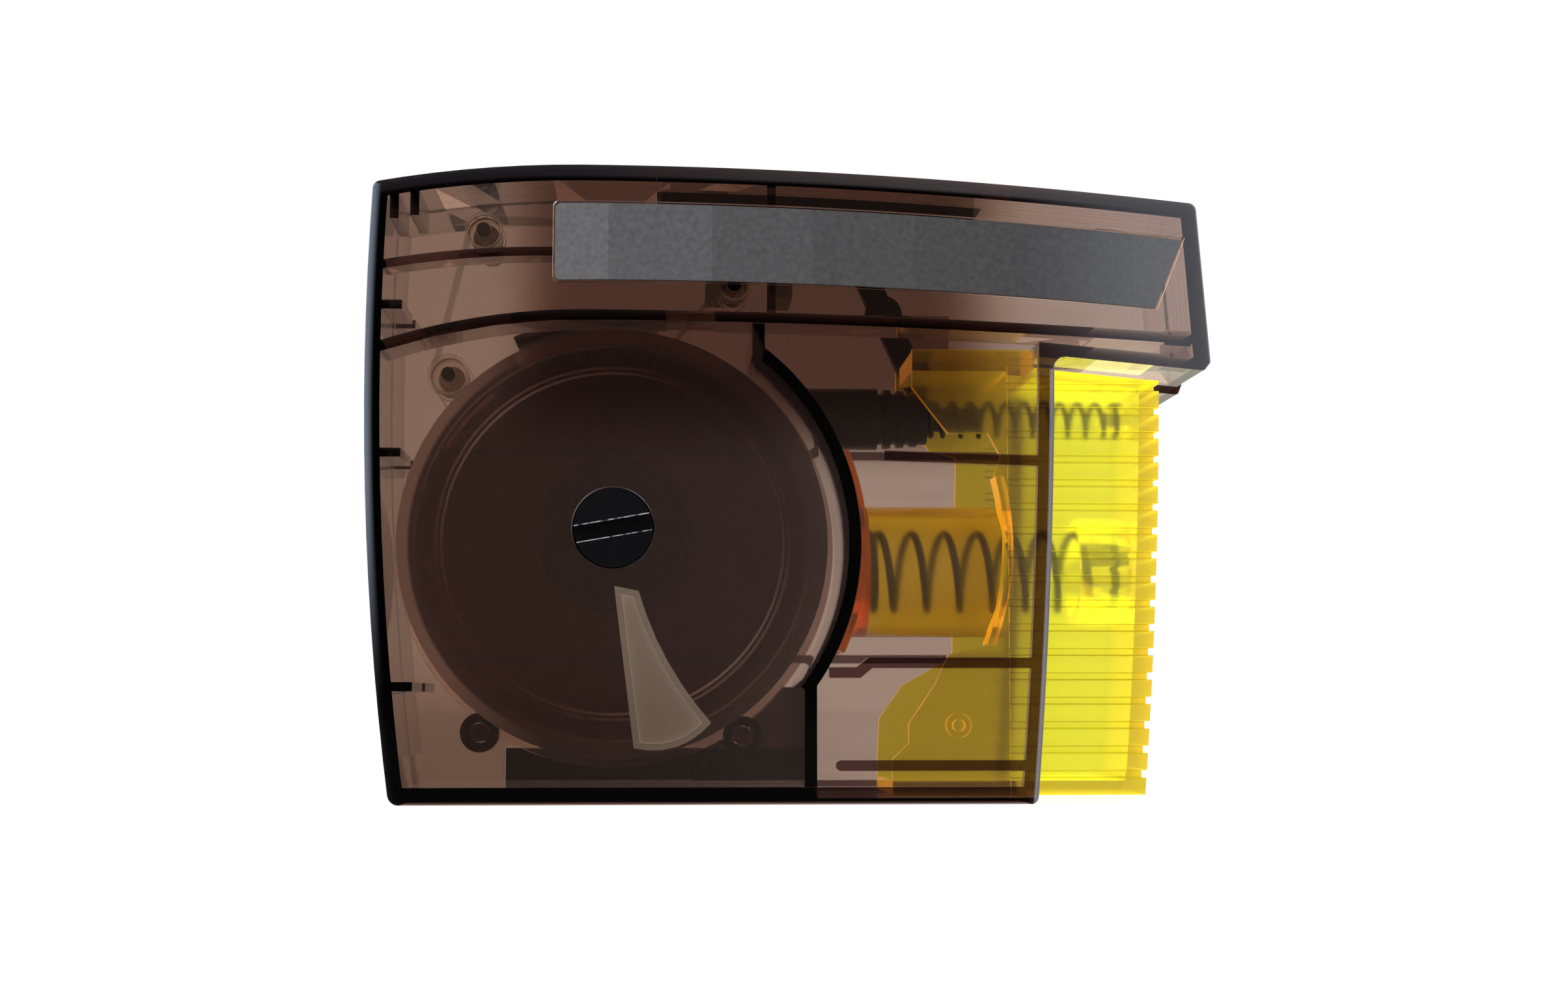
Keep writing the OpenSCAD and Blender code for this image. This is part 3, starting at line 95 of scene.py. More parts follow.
# Every finish is a shader tree. Arithmetic on a Value adds Math nodes, and any other node comes from add(),
# which takes the node's type, its settings, and the values or links of its sockets.
class Value:
    def __init__(self, tree, socket):
        self.tree = tree
        self.socket = socket

    def math(self, operation, *others):
        return self.tree.add("Math", {"operation": operation}, dict(enumerate((self, *others))))

    def __add__(self, other):
        return self.math("ADD", other)

    def __radd__(self, other):
        return self.math("ADD", other)

    def __sub__(self, other):
        return self.math("SUBTRACT", other)

    def __rsub__(self, other):
        return self.tree.add("Math", {"operation": "SUBTRACT"}, {0: other, 1: self})

    def __mul__(self, other):
        return self.math("MULTIPLY", other)

    def __rmul__(self, other):
        return self.math("MULTIPLY", other)

    def __truediv__(self, other):
        return self.math("DIVIDE", other)

    def __rtruediv__(self, other):
        return self.tree.add("Math", {"operation": "DIVIDE"}, {0: other, 1: self})

    def __gt__(self, other):
        return self.math("GREATER_THAN", other)

    def __lt__(self, other):
        return self.math("LESS_THAN", other)

    def __abs__(self):
        return self.math("ABSOLUTE")

    def near(self, other, reach):
        return self.math("COMPARE", other, reach)

    def most(self, other):
        return self.math("MAXIMUM", other)

    def least(self, other):
        return self.math("MINIMUM", other)


class Tree:
    def __init__(self, owner):
        owner.use_nodes = True
        self.owner = owner
        self.nodes = owner.node_tree.nodes
        self.links = owner.node_tree.links
        self.nodes.clear()

    def add(self, kind, settings=None, inputs=None, output=0):
        node = self.nodes.new("ShaderNode" + kind)
        for key, value in (settings or {}).items():
            if key == "stops":
                ramp = node.color_ramp
                ramp.interpolation = "CONSTANT"
                while len(ramp.elements) < len(value):
                    ramp.elements.new(0.5)
                for element, (place, colour) in zip(ramp.elements, value):
                    element.position = place
                    element.color = (*colour, 1.0)
            else:
                setattr(node, key, value)
        for key, value in (inputs or {}).items():
            if isinstance(value, Value):
                self.links.new(value.socket, node.inputs[key])
            elif isinstance(value, tuple) and node.inputs[key].type == "RGBA":
                node.inputs[key].default_value = (*value, 1.0)
            else:
                node.inputs[key].default_value = value
        return Value(self, node.outputs[output]) if node.outputs else None

    def finish(self, inputs):
        """Ends a material in one Principled surface, and gives the material back."""
        self.add("OutputMaterial", {}, {"Surface": self.add("BsdfPrincipled", {}, inputs)})
        return self.owner

    def place(self):
        return self.add("TexCoord", output="Object")

    def normal(self):
        return self.add("NewGeometry", output="Normal")

    def ray(self, kind):
        return self.add("LightPath", output=kind)

    def part(self, vector, axis):
        return self.add("SeparateXYZ", {}, {0: vector}, axis)

    def noise(self, size, detail=2.0, vector=None):
        return self.add("TexNoise", {}, {
            "Vector": vector or self.place(),
            "Scale": 1.0 / size,
            "Detail": detail,
        })

    def blend(self, share, low, high):
        return self.add("Mix", {"data_type": "RGBA"}, {0: share, 6: low, 7: high}, 2)

    def either(self, choice, no, yes):
        return self.add("Mix", {"data_type": "FLOAT"}, {0: choice, 2: no, 3: yes})

    def ramp(self, value, low, high):
        return self.add("MapRange", {"interpolation_type": "SMOOTHSTEP"}, {0: value, 1: low, 2: high})

    def bump(self, height, depth, normal=None):
        inputs = {"Height": height, "Distance": depth, "Strength": 1.0}
        if normal:
            inputs["Normal"] = normal
        return self.add("Bump", {}, inputs)


# The table and the room: a plain pale floor and an even white surround. Behind the camera the room is dark in
# reflections, so the polished front shows what lies inside it.
WHITE = (1.0, 1.0, 1.0)
BLACK = (0.0, 0.0, 0.0)
REACH = 3.0
FLOOR_SHADES = ((0.86, 0.86, 0.86), (0.90, 0.90, 0.90))
FLOOR_GLOW = 1.2
GLOW_SEEN = 0.75
FLOOR_UNSEEN_BY_GLOSS = 0.93
AMBIENT = 0.5
DARK_BEHIND = 0.02
BEHIND = (-0.95, -0.35)

floor_mesh = bpy.data.meshes.new("floor")
floor_mesh.from_pydata(
    [(-REACH, -REACH, 0), (REACH, -REACH, 0), (REACH, REACH, 0), (-REACH, REACH, 0)], [], [(0, 1, 2, 3)])
floor = bpy.data.objects.new("floor", floor_mesh)
bpy.context.scene.collection.objects.link(floor)
tree = Tree(bpy.data.materials.new("pale_floor"))
paint = tree.add("BsdfPrincipled", {}, {
    "Base Color": tree.blend(tree.noise(4 * MM), *FLOOR_SHADES),
    "Roughness": 0.9,
    "Specular IOR Level": 0.1,
})
glow = tree.add("Emission", {}, {"Color": WHITE, "Strength": FLOOR_GLOW})
dark = tree.add("Emission", {}, {"Color": BLACK, "Strength": 0.0})
seen = tree.ray("Is Camera Ray").most(tree.ray("Is Transmission Ray"))
table = tree.add("MixShader", {}, {0: tree.ray("Is Glossy Ray") * FLOOR_UNSEEN_BY_GLOSS, 1: paint, 2: dark})
table = tree.add("MixShader", {}, {0: seen * GLOW_SEEN, 1: table, 2: glow})
tree.add("OutputMaterial", {}, {"Surface": table})
floor_mesh.materials.append(tree.owner)

world = bpy.data.worlds.new("room")
bpy.context.scene.world = world
tree = Tree(world)
towards_back = tree.part(tree.add("TexCoord", output="Generated"), 1)
mirrored = tree.ramp(towards_back, *BEHIND) * (1 - DARK_BEHIND) + DARK_BEHIND
seen = tree.ray("Is Camera Ray").most(tree.ray("Is Transmission Ray"))
glossy = tree.ray("Is Glossy Ray")
level = seen + (1 - seen) * (glossy * mirrored + (1 - glossy) * AMBIENT)
tree.add("OutputWorld", {}, {"Surface": tree.add("Background", {}, {"Color": WHITE, "Strength": level})})

# Soft boxes stand left, right and behind, and a narrow upright strip at each side draws the long highlights.
# Each is a rectangular lamp that faces the middle of the cassette: its name, place, width, height and watts.
AIM = Vector((0, 0, 45 * MM))
LAMPS = (
    ("lamp_left", (-0.55, -0.45, 0.55), 0.5, 0.5, 1.6),
    ("lamp_right", (0.60, -0.30, 0.50), 0.4, 0.4, 1.3),
    ("lamp_back", (0.05, 0.60, 0.45), 0.6, 0.4, 1.2),
    ("strip_right", (0.70, -0.10, 0.15), 0.1, 0.6, 1.3),
    ("strip_left", (-0.70, -0.10, 0.15), 0.1, 0.6, 0.8),
)
for name, place, width, height, watts in LAMPS:
    light = bpy.data.lights.new(name, "AREA")
    light.shape = "RECTANGLE"
    light.size = width
    light.size_y = height
    light.energy = watts
    lamp = bpy.data.objects.new(name, light)
    bpy.context.scene.collection.objects.link(lamp)
    lamp.location = place
    lamp.rotation_mode = "QUATERNION"
    lamp.rotation_quaternion = (AIM - Vector(place)).to_track_quat("-Z", "Y")

# The two case halves are moulded in smoke-tinted clear plastic with polished faces. Shade is painted into
# their
# faces: darker over the tape and towards the lower left, lighter to the right, and nearly black on the rails
# inside them, standing in for the light lost where it runs a long way through the plastic.
WALL = 2.0 * MM
SMOKE = (0.625, 0.545, 0.525)
FACE_SHADED_LEFT = (0.79, 0.70, 0.61)
FACE_LIT_RIGHT = (0.94, 0.90, 0.83)
SHADE_OVER_TAPE = (0.44, 0.33, 0.27)
SHADE_LOW_LEFT = (0.64, 0.55, 0.46)
FACE_ACROSS = (-40 * MM, 12 * MM)
TAPE_STARTS = (-44 * MM, -33 * MM)
TAPE_ENDS = (22 * MM, 36 * MM)
TAPE_UP = (47 * MM, 60 * MM)
FACE_UP = (6 * MM, 24 * MM)
RAIL_DEPTHS = (3.8 * MM, 7.0 * MM, 11.3 * MM, 29.2 * MM)
RAIL_FACE = 0.08 * MM
RAIL_ENDS = (-51 * MM, -46 * MM)
RAIL_SHADE_LEFT = (0.34, 0.24, 0.20)
RAIL_SHADE = (0.075, 0.035, 0.038)
EDGE_RADIUS = 0.45 * MM


def tinted(name, passed, thickness, roughness, colour=None, ripple=None, glow=None, milk=0.0):
    """Clear plastic that passes a colour through one wall. colour and glow turn the tree into a socket."""
    tree = Tree(bpy.data.materials.new(name))
    inputs = {
        "Base Color": colour(tree) if colour else WHITE,
        "Roughness": tree.noise(6 * MM) * 0.03 + roughness,
        "IOR": 1.5,
        "Transmission Weight": 1.0 - milk,
    }
    if ripple:
        inputs["Normal"] = tree.bump(tree.noise(9 * MM, 1.0), ripple)
    if glow:
        inputs["Emission Color"] = glow(tree)
        inputs["Emission Strength"] = 1.0
    gloss = tree.add("BsdfPrincipled", {}, inputs)
    lets_by = tree.add("BsdfTransparent", {}, {"Color": WHITE})
    surface = tree.add("MixShader", {}, {0: tree.ray("Is Shadow Ray"), 1: gloss, 2: lets_by})
    taken = [-log(share) / thickness for share in passed]
    density = max(taken)
    inside = tree.add("VolumeAbsorption", {}, {
        "Color": tuple(1.0 - t / density for t in taken),
        "Density": density,
    })
    tree.add("OutputMaterial", {}, {"Surface": surface, "Volume": inside})
    return tree.owner


def dress(finish, *names):
    for name in names:
        nodes[name].data.materials.clear()
        nodes[name].data.materials.append(finish)


def weld(thing):
    thing.modifiers.new("weld", "WELD").merge_threshold = 0.002 * MM


def bevel(thing, width, segments):
    edges = thing.modifiers.new("edges", "BEVEL")
    edges.width = width
    edges.segments = segments
    edges.limit_method = "ANGLE"
    edges.angle_limit = radians(50)
    return edges


def soften(name, width, segments=2):
    """Rounds the sharp edges of a node a little, so that they catch the light."""
    weld(nodes[name])
    bevel(nodes[name], width, segments).harden_normals = True


def smoke_colour_and_shade(tree):
    place = tree.place()
    right = tree.part(place, 0)
    up = tree.part(place, 2)
    depth = tree.part(place, 1) - FRONT
    # Painted shade: darker over the tape and at the lower left, lighter to the right, and nearly black on the
    # rails.
    across = tree.ramp(right, *FACE_ACROSS)
    shade_over_tape = tree.ramp(right, *TAPE_STARTS) * (1 - tree.ramp(right, *TAPE_ENDS)) * tree.ramp(up, *TAPE_UP)
    shade_low_left = (1 - tree.ramp(up, *FACE_UP)) * (1 - across)
    face = tree.blend(across, FACE_SHADED_LEFT, FACE_LIT_RIGHT)
    face = tree.blend(shade_over_tape, face, SHADE_OVER_TAPE)
    face = tree.blend(shade_low_left, face, SHADE_LOW_LEFT)
    on_rail = sum(depth.near(d, RAIL_FACE) for d in RAIL_DEPTHS)
    rail_shade = tree.blend(tree.ramp(right, *RAIL_ENDS), RAIL_SHADE_LEFT, RAIL_SHADE)
    return tree.blend(on_rail.least(1.0), face, rail_shade)


# Light is painted onto the edges of the case: blue-grey where the side walls are rounded, brown on the walls
# inside, and pale round the label's recess and under the tip. Over the right end of the head lies a pale
# painted haze.
BODY_RIGHT = 37.9 * MM
CROWN = -29.3 * MM
LEFT_BOW = (62.3 * MM, 443 * MM)
RIGHT_BOW = (72.6 * MM, 852 * MM)
CROWN_BOWS = (165 * MM, 836 * MM)
ON_FRONT = 0.05 * MM
ROUND_EDGE = (0.2 * MM, 1.3 * MM)
ROUND_EDGE_TOP = 88 * MM
RIGHT_LINE = 0.4 * MM
RIGHT_LINE_CORE = 0.1 * MM
RIGHT_LINE_TOP = 62 * MM
ROUNDING_LIGHT = (0.14, 0.16, 0.20)
INNER_ACROSS = (-50 * MM, 20 * MM)
INNER_WALL_LIGHT_LEFT = (0.012, 0.017, 0.020)
INNER_WALL_LIGHT_RIGHT = (0.045, 0.032, 0.026)
TOP_ACROSS = (-50 * MM, 55 * MM)
TOP_WALL_LIGHT_LEFT = (0.008, 0.006, 0.008)
TOP_WALL_LIGHT_RIGHT = (0.050, 0.045, 0.048)
CORNER = 1.0 * MM
EDGE_UP = (14 * MM, 50 * MM)
EDGE_LIGHT_LOW = (0.030, 0.030, 0.036)
EDGE_LIGHT_HIGH = (0.15, 0.17, 0.21)
RECESS_MIDDLE = 11 * MM
RECESS_HALF = 47 * MM
RECESS_LOW = 66 * MM
RECESS_GLINT_FACING_LEFT = (0.30, 0.15, 0.05)
RECESS_HIGHLIGHT_FACING_RIGHT = (0.55, 0.53, 0.52)
TIP_LEFT = 44 * MM
TIP_TOP = 70 * MM
TIP_UNDERSIDE_LIGHT = (0.26, 0.25, 0.20)
PAINTED_HAZE_LOW = 61 * MM
PAINTED_HAZE_REACH = (30 * MM, 58 * MM)
PAINTED_HAZE = (0.065, 0.069, 0.080)


def drawn_back(along, middle, radius):
    """How far an edge of that radius has drawn back from its furthest point at middle."""
    away = along - middle
    return away * away / (2 * radius)


def rounded_edges(tree, right, up, risen):
    """Where painted highlights lie along the rounded edges of the left and right walls."""
    from_left = right - cad_box[0].x - drawn_back(up, *LEFT_BOW)
    from_right = abs(BODY_RIGHT - drawn_back(up, *RIGHT_BOW) - right - RIGHT_LINE)
    left = (1 - tree.ramp(from_left, *ROUND_EDGE)) * (up < ROUND_EDGE_TOP) * risen
    return left.most((1 - tree.ramp(from_right, RIGHT_LINE_CORE, RIGHT_LINE)) * (up < RIGHT_LINE_TOP))


def top_walls(tree, right, up):
    """Where the top wall, and the wall at the tip, end on the front face."""
    fallen = tree.either(right > CROWN, *(drawn_back(right, CROWN, radius) for radius in CROWN_BOWS))
    from_top = cad_box[1].z - up - fallen
    return (1 - tree.ramp(from_top, WALL * 0.7, WALL)).most(right > cad_box[1].x - WALL * 1.3)


def smoke_painted_light(tree):
    # Painted light: on the inner walls, the ends of the top walls, the rounded edges, the recess rim, under
    # the tip and as a haze over the head.
    place = tree.place()
    right = tree.part(place, 0)
    up = tree.part(place, 2)
    depth = tree.part(place, 1) - FRONT
    front_face = depth < ON_FRONT
    normal = tree.normal()
    sideways = tree.part(normal, 0)
    risen = tree.ramp(up, *EDGE_UP)

    inner_wall_light = tree.blend(tree.ramp(right, *INNER_ACROSS), INNER_WALL_LIGHT_LEFT, INNER_WALL_LIGHT_RIGHT)
    inner_wall_light = tree.blend(abs(tree.part(normal, 1)) < 0.6, BLACK, inner_wall_light)
    top_wall_light = tree.blend(tree.ramp(right, *TOP_ACROSS), TOP_WALL_LIGHT_LEFT, TOP_WALL_LIGHT_RIGHT)
    light = tree.blend(top_walls(tree, right, up) * front_face, inner_wall_light, top_wall_light)

    rim = tree.blend(risen.most(right > 0), EDGE_LIGHT_LOW, EDGE_LIGHT_HIGH)
    recess = (abs(right - RECESS_MIDDLE) < RECESS_HALF) * (up > RECESS_LOW)
    recess_highlight = tree.blend(sideways > 0, RECESS_GLINT_FACING_LEFT, RECESS_HIGHLIGHT_FACING_RIGHT)
    outer_light = tree.blend(recess, rim, recess_highlight)
    corner = (depth < CORNER) * tree.ramp(abs(sideways), 0.15, 0.6)
    light = tree.blend(corner, light, outer_light)

    under_tip = (tree.part(normal, 2) < -0.5) * (right > TIP_LEFT) * (up < TIP_TOP)
    light = tree.blend(under_tip, light, TIP_UNDERSIDE_LIGHT)
    light = tree.blend(rounded_edges(tree, right, up, risen) * front_face, light, ROUNDING_LIGHT)
    painted_haze = tree.ramp(right, *PAINTED_HAZE_REACH) * (up > PAINTED_HAZE_LOW) * front_face
    return tree.blend(painted_haze, light, PAINTED_HAZE)


smoke = tinted("smoke_plastic", SMOKE, WALL, 0.015, smoke_colour_and_shade, ripple=0.02 * MM, glow=smoke_painted_light)
dress(smoke, "front_cover", "rear_cover")
soften("front_cover", EDGE_RADIUS)
soften("rear_cover", EDGE_RADIUS)

# The label let into the head is film with a papery grain, in greys that go darker in steps to the right.
# The one let into the back is plain black film.
BAND_FIRST = -26.5 * MM
BAND_PITCH = 14.65 * MM
BAND_GREYS = (0.160, 0.124, 0.100, 0.086, 0.078, 0.074, 0.074)
BAND_TINT = (1.0, 0.98, 1.02)
PAPER_GRAIN = 0.9 * MM
PAPER_DARKEST = 0.80
PAPER_PALEST = 1.22
FILM_BLACKS = ((0.008, 0.008, 0.009), (0.013, 0.013, 0.014))


def label_finish():
    tree = Tree(bpy.data.materials.new("grey_label"))
    right = tree.part(tree.place(), 0)
    count = len(BAND_GREYS)
    along = (right - (BAND_FIRST - BAND_PITCH)) / (BAND_PITCH * count)
    stops = [(i / count, tuple(grey * tint for tint in BAND_TINT)) for i, grey in enumerate(BAND_GREYS)]
    bands = tree.add("ValToRGB", {"stops": stops}, {0: along})
    fibres = tree.noise(PAPER_GRAIN, 5.0)
    mottle = tree.add("MapRange", {}, {0: fibres, 1: 0.25, 2: 0.75, 3: PAPER_DARKEST, 4: PAPER_PALEST})
    return tree.finish({
        "Base Color": tree.add("VectorMath", {"operation": "SCALE"}, {0: bands, "Scale": mottle}),
        "Roughness": fibres * 0.2 + 0.45,
        "Specular IOR Level": 0.3,
        "Normal": tree.bump(fibres, 0.01 * MM),
        # A pale painted haze of light lies over the right end of the label.
        "Emission Color": tree.blend(tree.ramp(right, *PAINTED_HAZE_REACH), BLACK, PAINTED_HAZE),
        "Emission Strength": 1.0,
    })


def solid(name, shades, roughness, grain=0.4 * MM, depth=0.01 * MM, metal=0.0, shine=0.5, glow=None):
    """An opaque finish whose colour wanders between two shades, with a fine grain."""
    tree = Tree(bpy.data.materials.new(name))
    fine = tree.noise(grain)
    return tree.finish({
        "Base Color": tree.blend(tree.noise(8 * MM, 3.0), *shades),
        "Roughness": fine * 0.15 + roughness,
        "Metallic": metal,
        "Specular IOR Level": shine,
        "Normal": tree.bump(fine, depth),
        "Emission Color": glow(tree) if glow else BLACK,
        "Emission Strength": 1.0,
    })


dress(label_finish(), "front_label")
soften("front_label", 0.12 * MM)
dress(solid("black_label", FILM_BLACKS, 0.4, shine=0.3), "rear_label")

# The curved wall right of the cartridge, with its leg down to the base, is moulded in the darkest smoke
# plastic. It parts the tape's side of the case from the lever's side.
DIVIDER_SMOKE = (0.06, 0.035, 0.04)
SHELL_WALL = 1.4 * MM
SHELL_POLISH = 0.03
SHELL_EDGE = 0.2 * MM
dress(tinted("divider_plastic", DIVIDER_SMOKE, SHELL_WALL, SHELL_POLISH), "divider_wall")
soften("divider_wall", SHELL_EDGE)

# The reel cartridge is two round shells moulded in dark smoke plastic, closed face to face round the reels.
# Painted highlights lie on the moulded rings of the front one at upper left and lower right, and on its rim.
DARK_SMOKE = (0.19, 0.085, 0.09)
disc_low, disc_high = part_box("cartridge_front")
disc_middle = (disc_low + disc_high) / 2
DISC_RADIUS = (disc_high.x - disc_low.x) / 2
DISC_FACE_DEPTH = 0.5 * MM
RINGS = ((6.3 * MM, 1.0), (5.55 * MM, 0.6), (2.45 * MM, 0.3))
RING_HALF = 0.18 * MM
RING_HIGHLIGHT = (0.17, 0.11, 0.10)
TOWARDS_UP = 0.8
TOWARDS_LEFT = 0.6
DISC_PAINTED_LIGHT = (0.007, 0.0025, 0.0025)
RIM_WIDTH = 4.5 * MM
RIM_PAINTED_LIGHT = (0.036, 0.020, 0.018)
BRIGHT_RIM = (DISC_RADIUS - 1.9 * MM, DISC_RADIUS - 1.3 * MM)
BRIGHT_RIM_ENDS = (-26 * MM, -8 * MM)
BRIGHT_RIM_HIGHLIGHT = (0.19, 0.115, 0.090)


def offset(tree, x, z):
    """How far to the right and up a point lies from an axis that runs front to back."""
    place = tree.place()
    return tree.part(place, 0) - x, tree.part(place, 2) - z


def distance(out, up):
    return (out * out + up * up).math("SQRT")


def disc_painted_light(tree):
    # Painted light on the front face: a faint glow, a lighter rim, a bright arc on the left of the rim, and
    # ring highlights.
    out, up = offset(tree, disc_middle.x, disc_middle.z)
    radius = distance(out, up)
    towards = abs((up * TOWARDS_UP - out * TOWARDS_LEFT) / radius)
    rings = sum(radius.near(DISC_RADIUS - inset, RING_HALF) * share for inset, share in RINGS)
    rings = rings * (towards.math("POWER", 4.0) * 0.92 + 0.08)
    rim = tree.ramp(radius, DISC_RADIUS - RIM_WIDTH, DISC_RADIUS)
    light = tree.blend(rim * 0.9, DISC_PAINTED_LIGHT, RIM_PAINTED_LIGHT)
    bright_rim = tree.ramp(radius, *BRIGHT_RIM) * (1 - tree.ramp(out, *BRIGHT_RIM_ENDS))
    light = tree.blend(bright_rim, light, BRIGHT_RIM_HIGHLIGHT)
    light = tree.blend(rings.least(1.0), light, RING_HIGHLIGHT)
    front = (tree.part(tree.place(), 1) - disc_low.y) < DISC_FACE_DEPTH
    return tree.blend(front, BLACK, light)


dress(tinted("dark_smoke_plastic", DARK_SMOKE, SHELL_WALL, SHELL_POLISH), "cartridge_rear")
dress(tinted("disc_plastic", DARK_SMOKE, SHELL_WALL, SHELL_POLISH, glow=disc_painted_light), "cartridge_front")
soften("cartridge_front", SHELL_EDGE)

# A disc of clear sheet is held between the two shells, and its edge stands out round them. It is clear on
# the left, and painted brown with shade on the right, where the dark wall lies behind it.
SHEET_CLEAR = (0.96, 0.92, 0.89)
SHEET_LEFT = (1.0, 0.90, 0.86)
SHEET_SHADED_RIGHT = (0.46, 0.36, 0.33)
SHEET_ACROSS = (-10 * MM, 16 * MM)


def sheet_colour_and_shade(tree):
    out = tree.part(tree.place(), 0) - disc_middle.x
    return tree.blend(tree.ramp(out, *SHEET_ACROSS), SHEET_LEFT, SHEET_SHADED_RIGHT)


dress(tinted("sheet_plastic", SHEET_CLEAR, WALL, 0.06, sheet_colour_and_shade), "clear_sheet")

# The wedge window, through which the amount of tape is seen, is a clear plastic insert in the front shell.
# Its face is frosted and finely scratched, with faint painted light, and its edges have painted highlights.
CLEAR = (0.93, 0.90, 0.86)
FROST_SHADES = ((0.70, 0.72, 0.68), (0.88, 0.90, 0.86))
FROST_FACE_LIGHT = (0.032, 0.044, 0.048)
FROST_EDGE_LIGHT = (0.22, 0.25, 0.25)
SCRATCH = 0.25 * MM
SCRATCH_STRETCH = (3.0, 1.0, 0.35)


def frost_colour(tree):
    stretched = tree.add("VectorMath", {"operation": "MULTIPLY"}, {0: tree.place(), 1: SCRATCH_STRETCH})
    return tree.blend(tree.noise(SCRATCH, 4.0, stretched), *FROST_SHADES)


def frost_painted_light(tree):
    return tree.blend(abs(tree.part(tree.normal(), 1)) < 0.75, FROST_FACE_LIGHT, FROST_EDGE_LIGHT)


frosted = tinted("frosted_window", CLEAR, WALL, 0.35, frost_colour, glow=frost_painted_light, milk=0.85)
dress(frosted, "level_window")
soften("level_window", 0.1 * MM)

# The knob on the take-up hub is black plastic with a coin slot. Its rim and the edges of its slot carry
# painted highlights, broken up in places.
KNOB_BLACKS = ((0.003, 0.003, 0.004), (0.007, 0.007, 0.009))
SLOT_WIDTH = 2.3 * MM
SLOT_TILT = radians(10)
SLOT_EDGE_HALF = 0.13 * MM
SLOT_EDGE_DEPTH = 0.35 * MM
HIGHLIGHT_PATCH_SIZE = 0.9 * MM
SLOT_AND_RIM_HIGHLIGHT = (0.40, 0.40, 0.43)


def knob_painted_highlight(tree):
    low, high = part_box("take_up_knob")
    out, up = offset(tree, (low.x + high.x) / 2, (low.z + high.z) / 2)
    off = abs(up * cos(SLOT_TILT) - out * sin(SLOT_TILT))
    on_front = tree.part(tree.place(), 1) < low.y + SLOT_EDGE_DEPTH
    slot_edge = off.near(SLOT_WIDTH / 2, SLOT_EDGE_HALF) * on_front
    rim = abs(tree.part(tree.normal(), 1)).near(0.62, 0.3)
    highlight_patches = tree.ramp(tree.noise(HIGHLIGHT_PATCH_SIZE, 3.0), 0.35, 0.6)
    return tree.blend(rim.most(slot_edge) * highlight_patches, BLACK, SLOT_AND_RIM_HIGHLIGHT)


dress(solid("knob_plastic", KNOB_BLACKS, 0.3, shine=0.25, glow=knob_painted_highlight), "take_up_knob")
soften("take_up_knob", 0.25 * MM)

# The squeeze lever is clear yellow plastic. Its edges inside the case carry painted amber light, where the
# plastic gathers light. Its grip is ribbed all round, with painted amber light only on the outer teeth.
YELLOW = (0.968, 0.943, 0.13)
RIB_PITCH = 3.5 * MM
GROOVE = 1.05 * MM
TOOTH = 1.0 - GROOVE / RIB_PITCH
GRIP_LEFT = 31.5 * MM
GRIP_EDGES_LEFT = GRIP_LEFT + 4 * MM
LEVER_FACE = (0.99, 0.97, 0.36)
GRIP_FACE = (0.985, 0.99, 0.86)
GROOVE_SHADE = (0.98, 0.97, 0.70)
GROOVE_EDGE_SHADE = (0.55, 0.47, 0.10)
AMBER_LIGHT = (0.50, 0.20, 0.003)
LEVEL_LIGHT = (0.10, 0.075, 0.001)
TOOTH_LIGHT = (0.37, 0.385, 0.006)
TOOTH_OUTER_LIGHT = (0.36, 0.19, 0.002)
TOOTH_INNER_LIGHT = (0.10, 0.098, 0.002)
lever_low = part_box("lever")[0]


def lever_colour(tree):
    place = tree.place()
    turn = ((tree.part(place, 2) - lever_low.z) / RIB_PITCH).math("FRACT")
    # The grooves of the grip are painted a little darker, with painted lines of shade along their edges.
    groove_edge_shade = turn.near(TOOTH, 0.03) + turn.near(0.985, 0.025)
    groove = turn > TOOTH
    grip = tree.part(place, 0) > GRIP_LEFT
    face = tree.blend(grip, LEVER_FACE, GRIP_FACE)
    body = tree.blend(groove * grip * 0.7, face, GROOVE_SHADE)
    return tree.blend(groove_edge_shade * grip * 0.8, body, GROOVE_EDGE_SHADE)


def lever_edge_painted_light(tree):
    # Painted light: amber on the lever's side faces, yellow on the grip's teeth, and amber on their outer
    # faces.
    normal = tree.normal()
    sideways = tree.part(normal, 0)
    level = abs(tree.part(normal, 2)) > 0.9
    inside = tree.blend(level, AMBER_LIGHT, LEVEL_LIGHT)
    teeth = tree.blend(sideways > 0.3, TOOTH_LIGHT, TOOTH_OUTER_LIGHT)
    teeth = tree.blend(sideways < -0.7, teeth, TOOTH_INNER_LIGHT)
    light = tree.blend(tree.part(tree.place(), 0) > GRIP_EDGES_LEFT, inside, teeth)
    return tree.blend(abs(tree.part(normal, 1)) < 0.85, BLACK, light)


yellow = tinted("yellow_plastic", YELLOW, WALL, 0.17, lever_colour,
                ripple=0.03 * MM, glow=lever_edge_painted_light, milk=0.06)
dress(yellow, "lever")
soften("lever", 0.25 * MM, 1)

# The tube that guides the return spring is yellow plastic with a hazier face. It goes darker at the top, and
# faint painted light lies on it, with amber painted light along the edge of its curved flange.
TUBE_YELLOW = (0.93, 0.74, 0.07)
TUBE_FACE = (1.0, 0.99, 0.93)
TUBE_TOP = (0.60, 0.50, 0.30)
TUBE_TOP_FADE = 5 * MM
TUBE_LIGHT = (0.014, 0.010, 0.0)
FLANGE_RADIUS = 37.2 * MM
FLANGE_LIGHT = (0.06, 0.030, 0.001)


def tube_colour(tree):
    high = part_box("spring_tube")[1].z
    up = tree.part(tree.place(), 2)
    return tree.blend(tree.ramp(up, high - TUBE_TOP_FADE, high), TUBE_FACE, TUBE_TOP)


def flange_painted_light(tree):
    radius = distance(*offset(tree, disc_middle.x, disc_middle.z))
    return tree.blend(radius < FLANGE_RADIUS, TUBE_LIGHT, FLANGE_LIGHT)


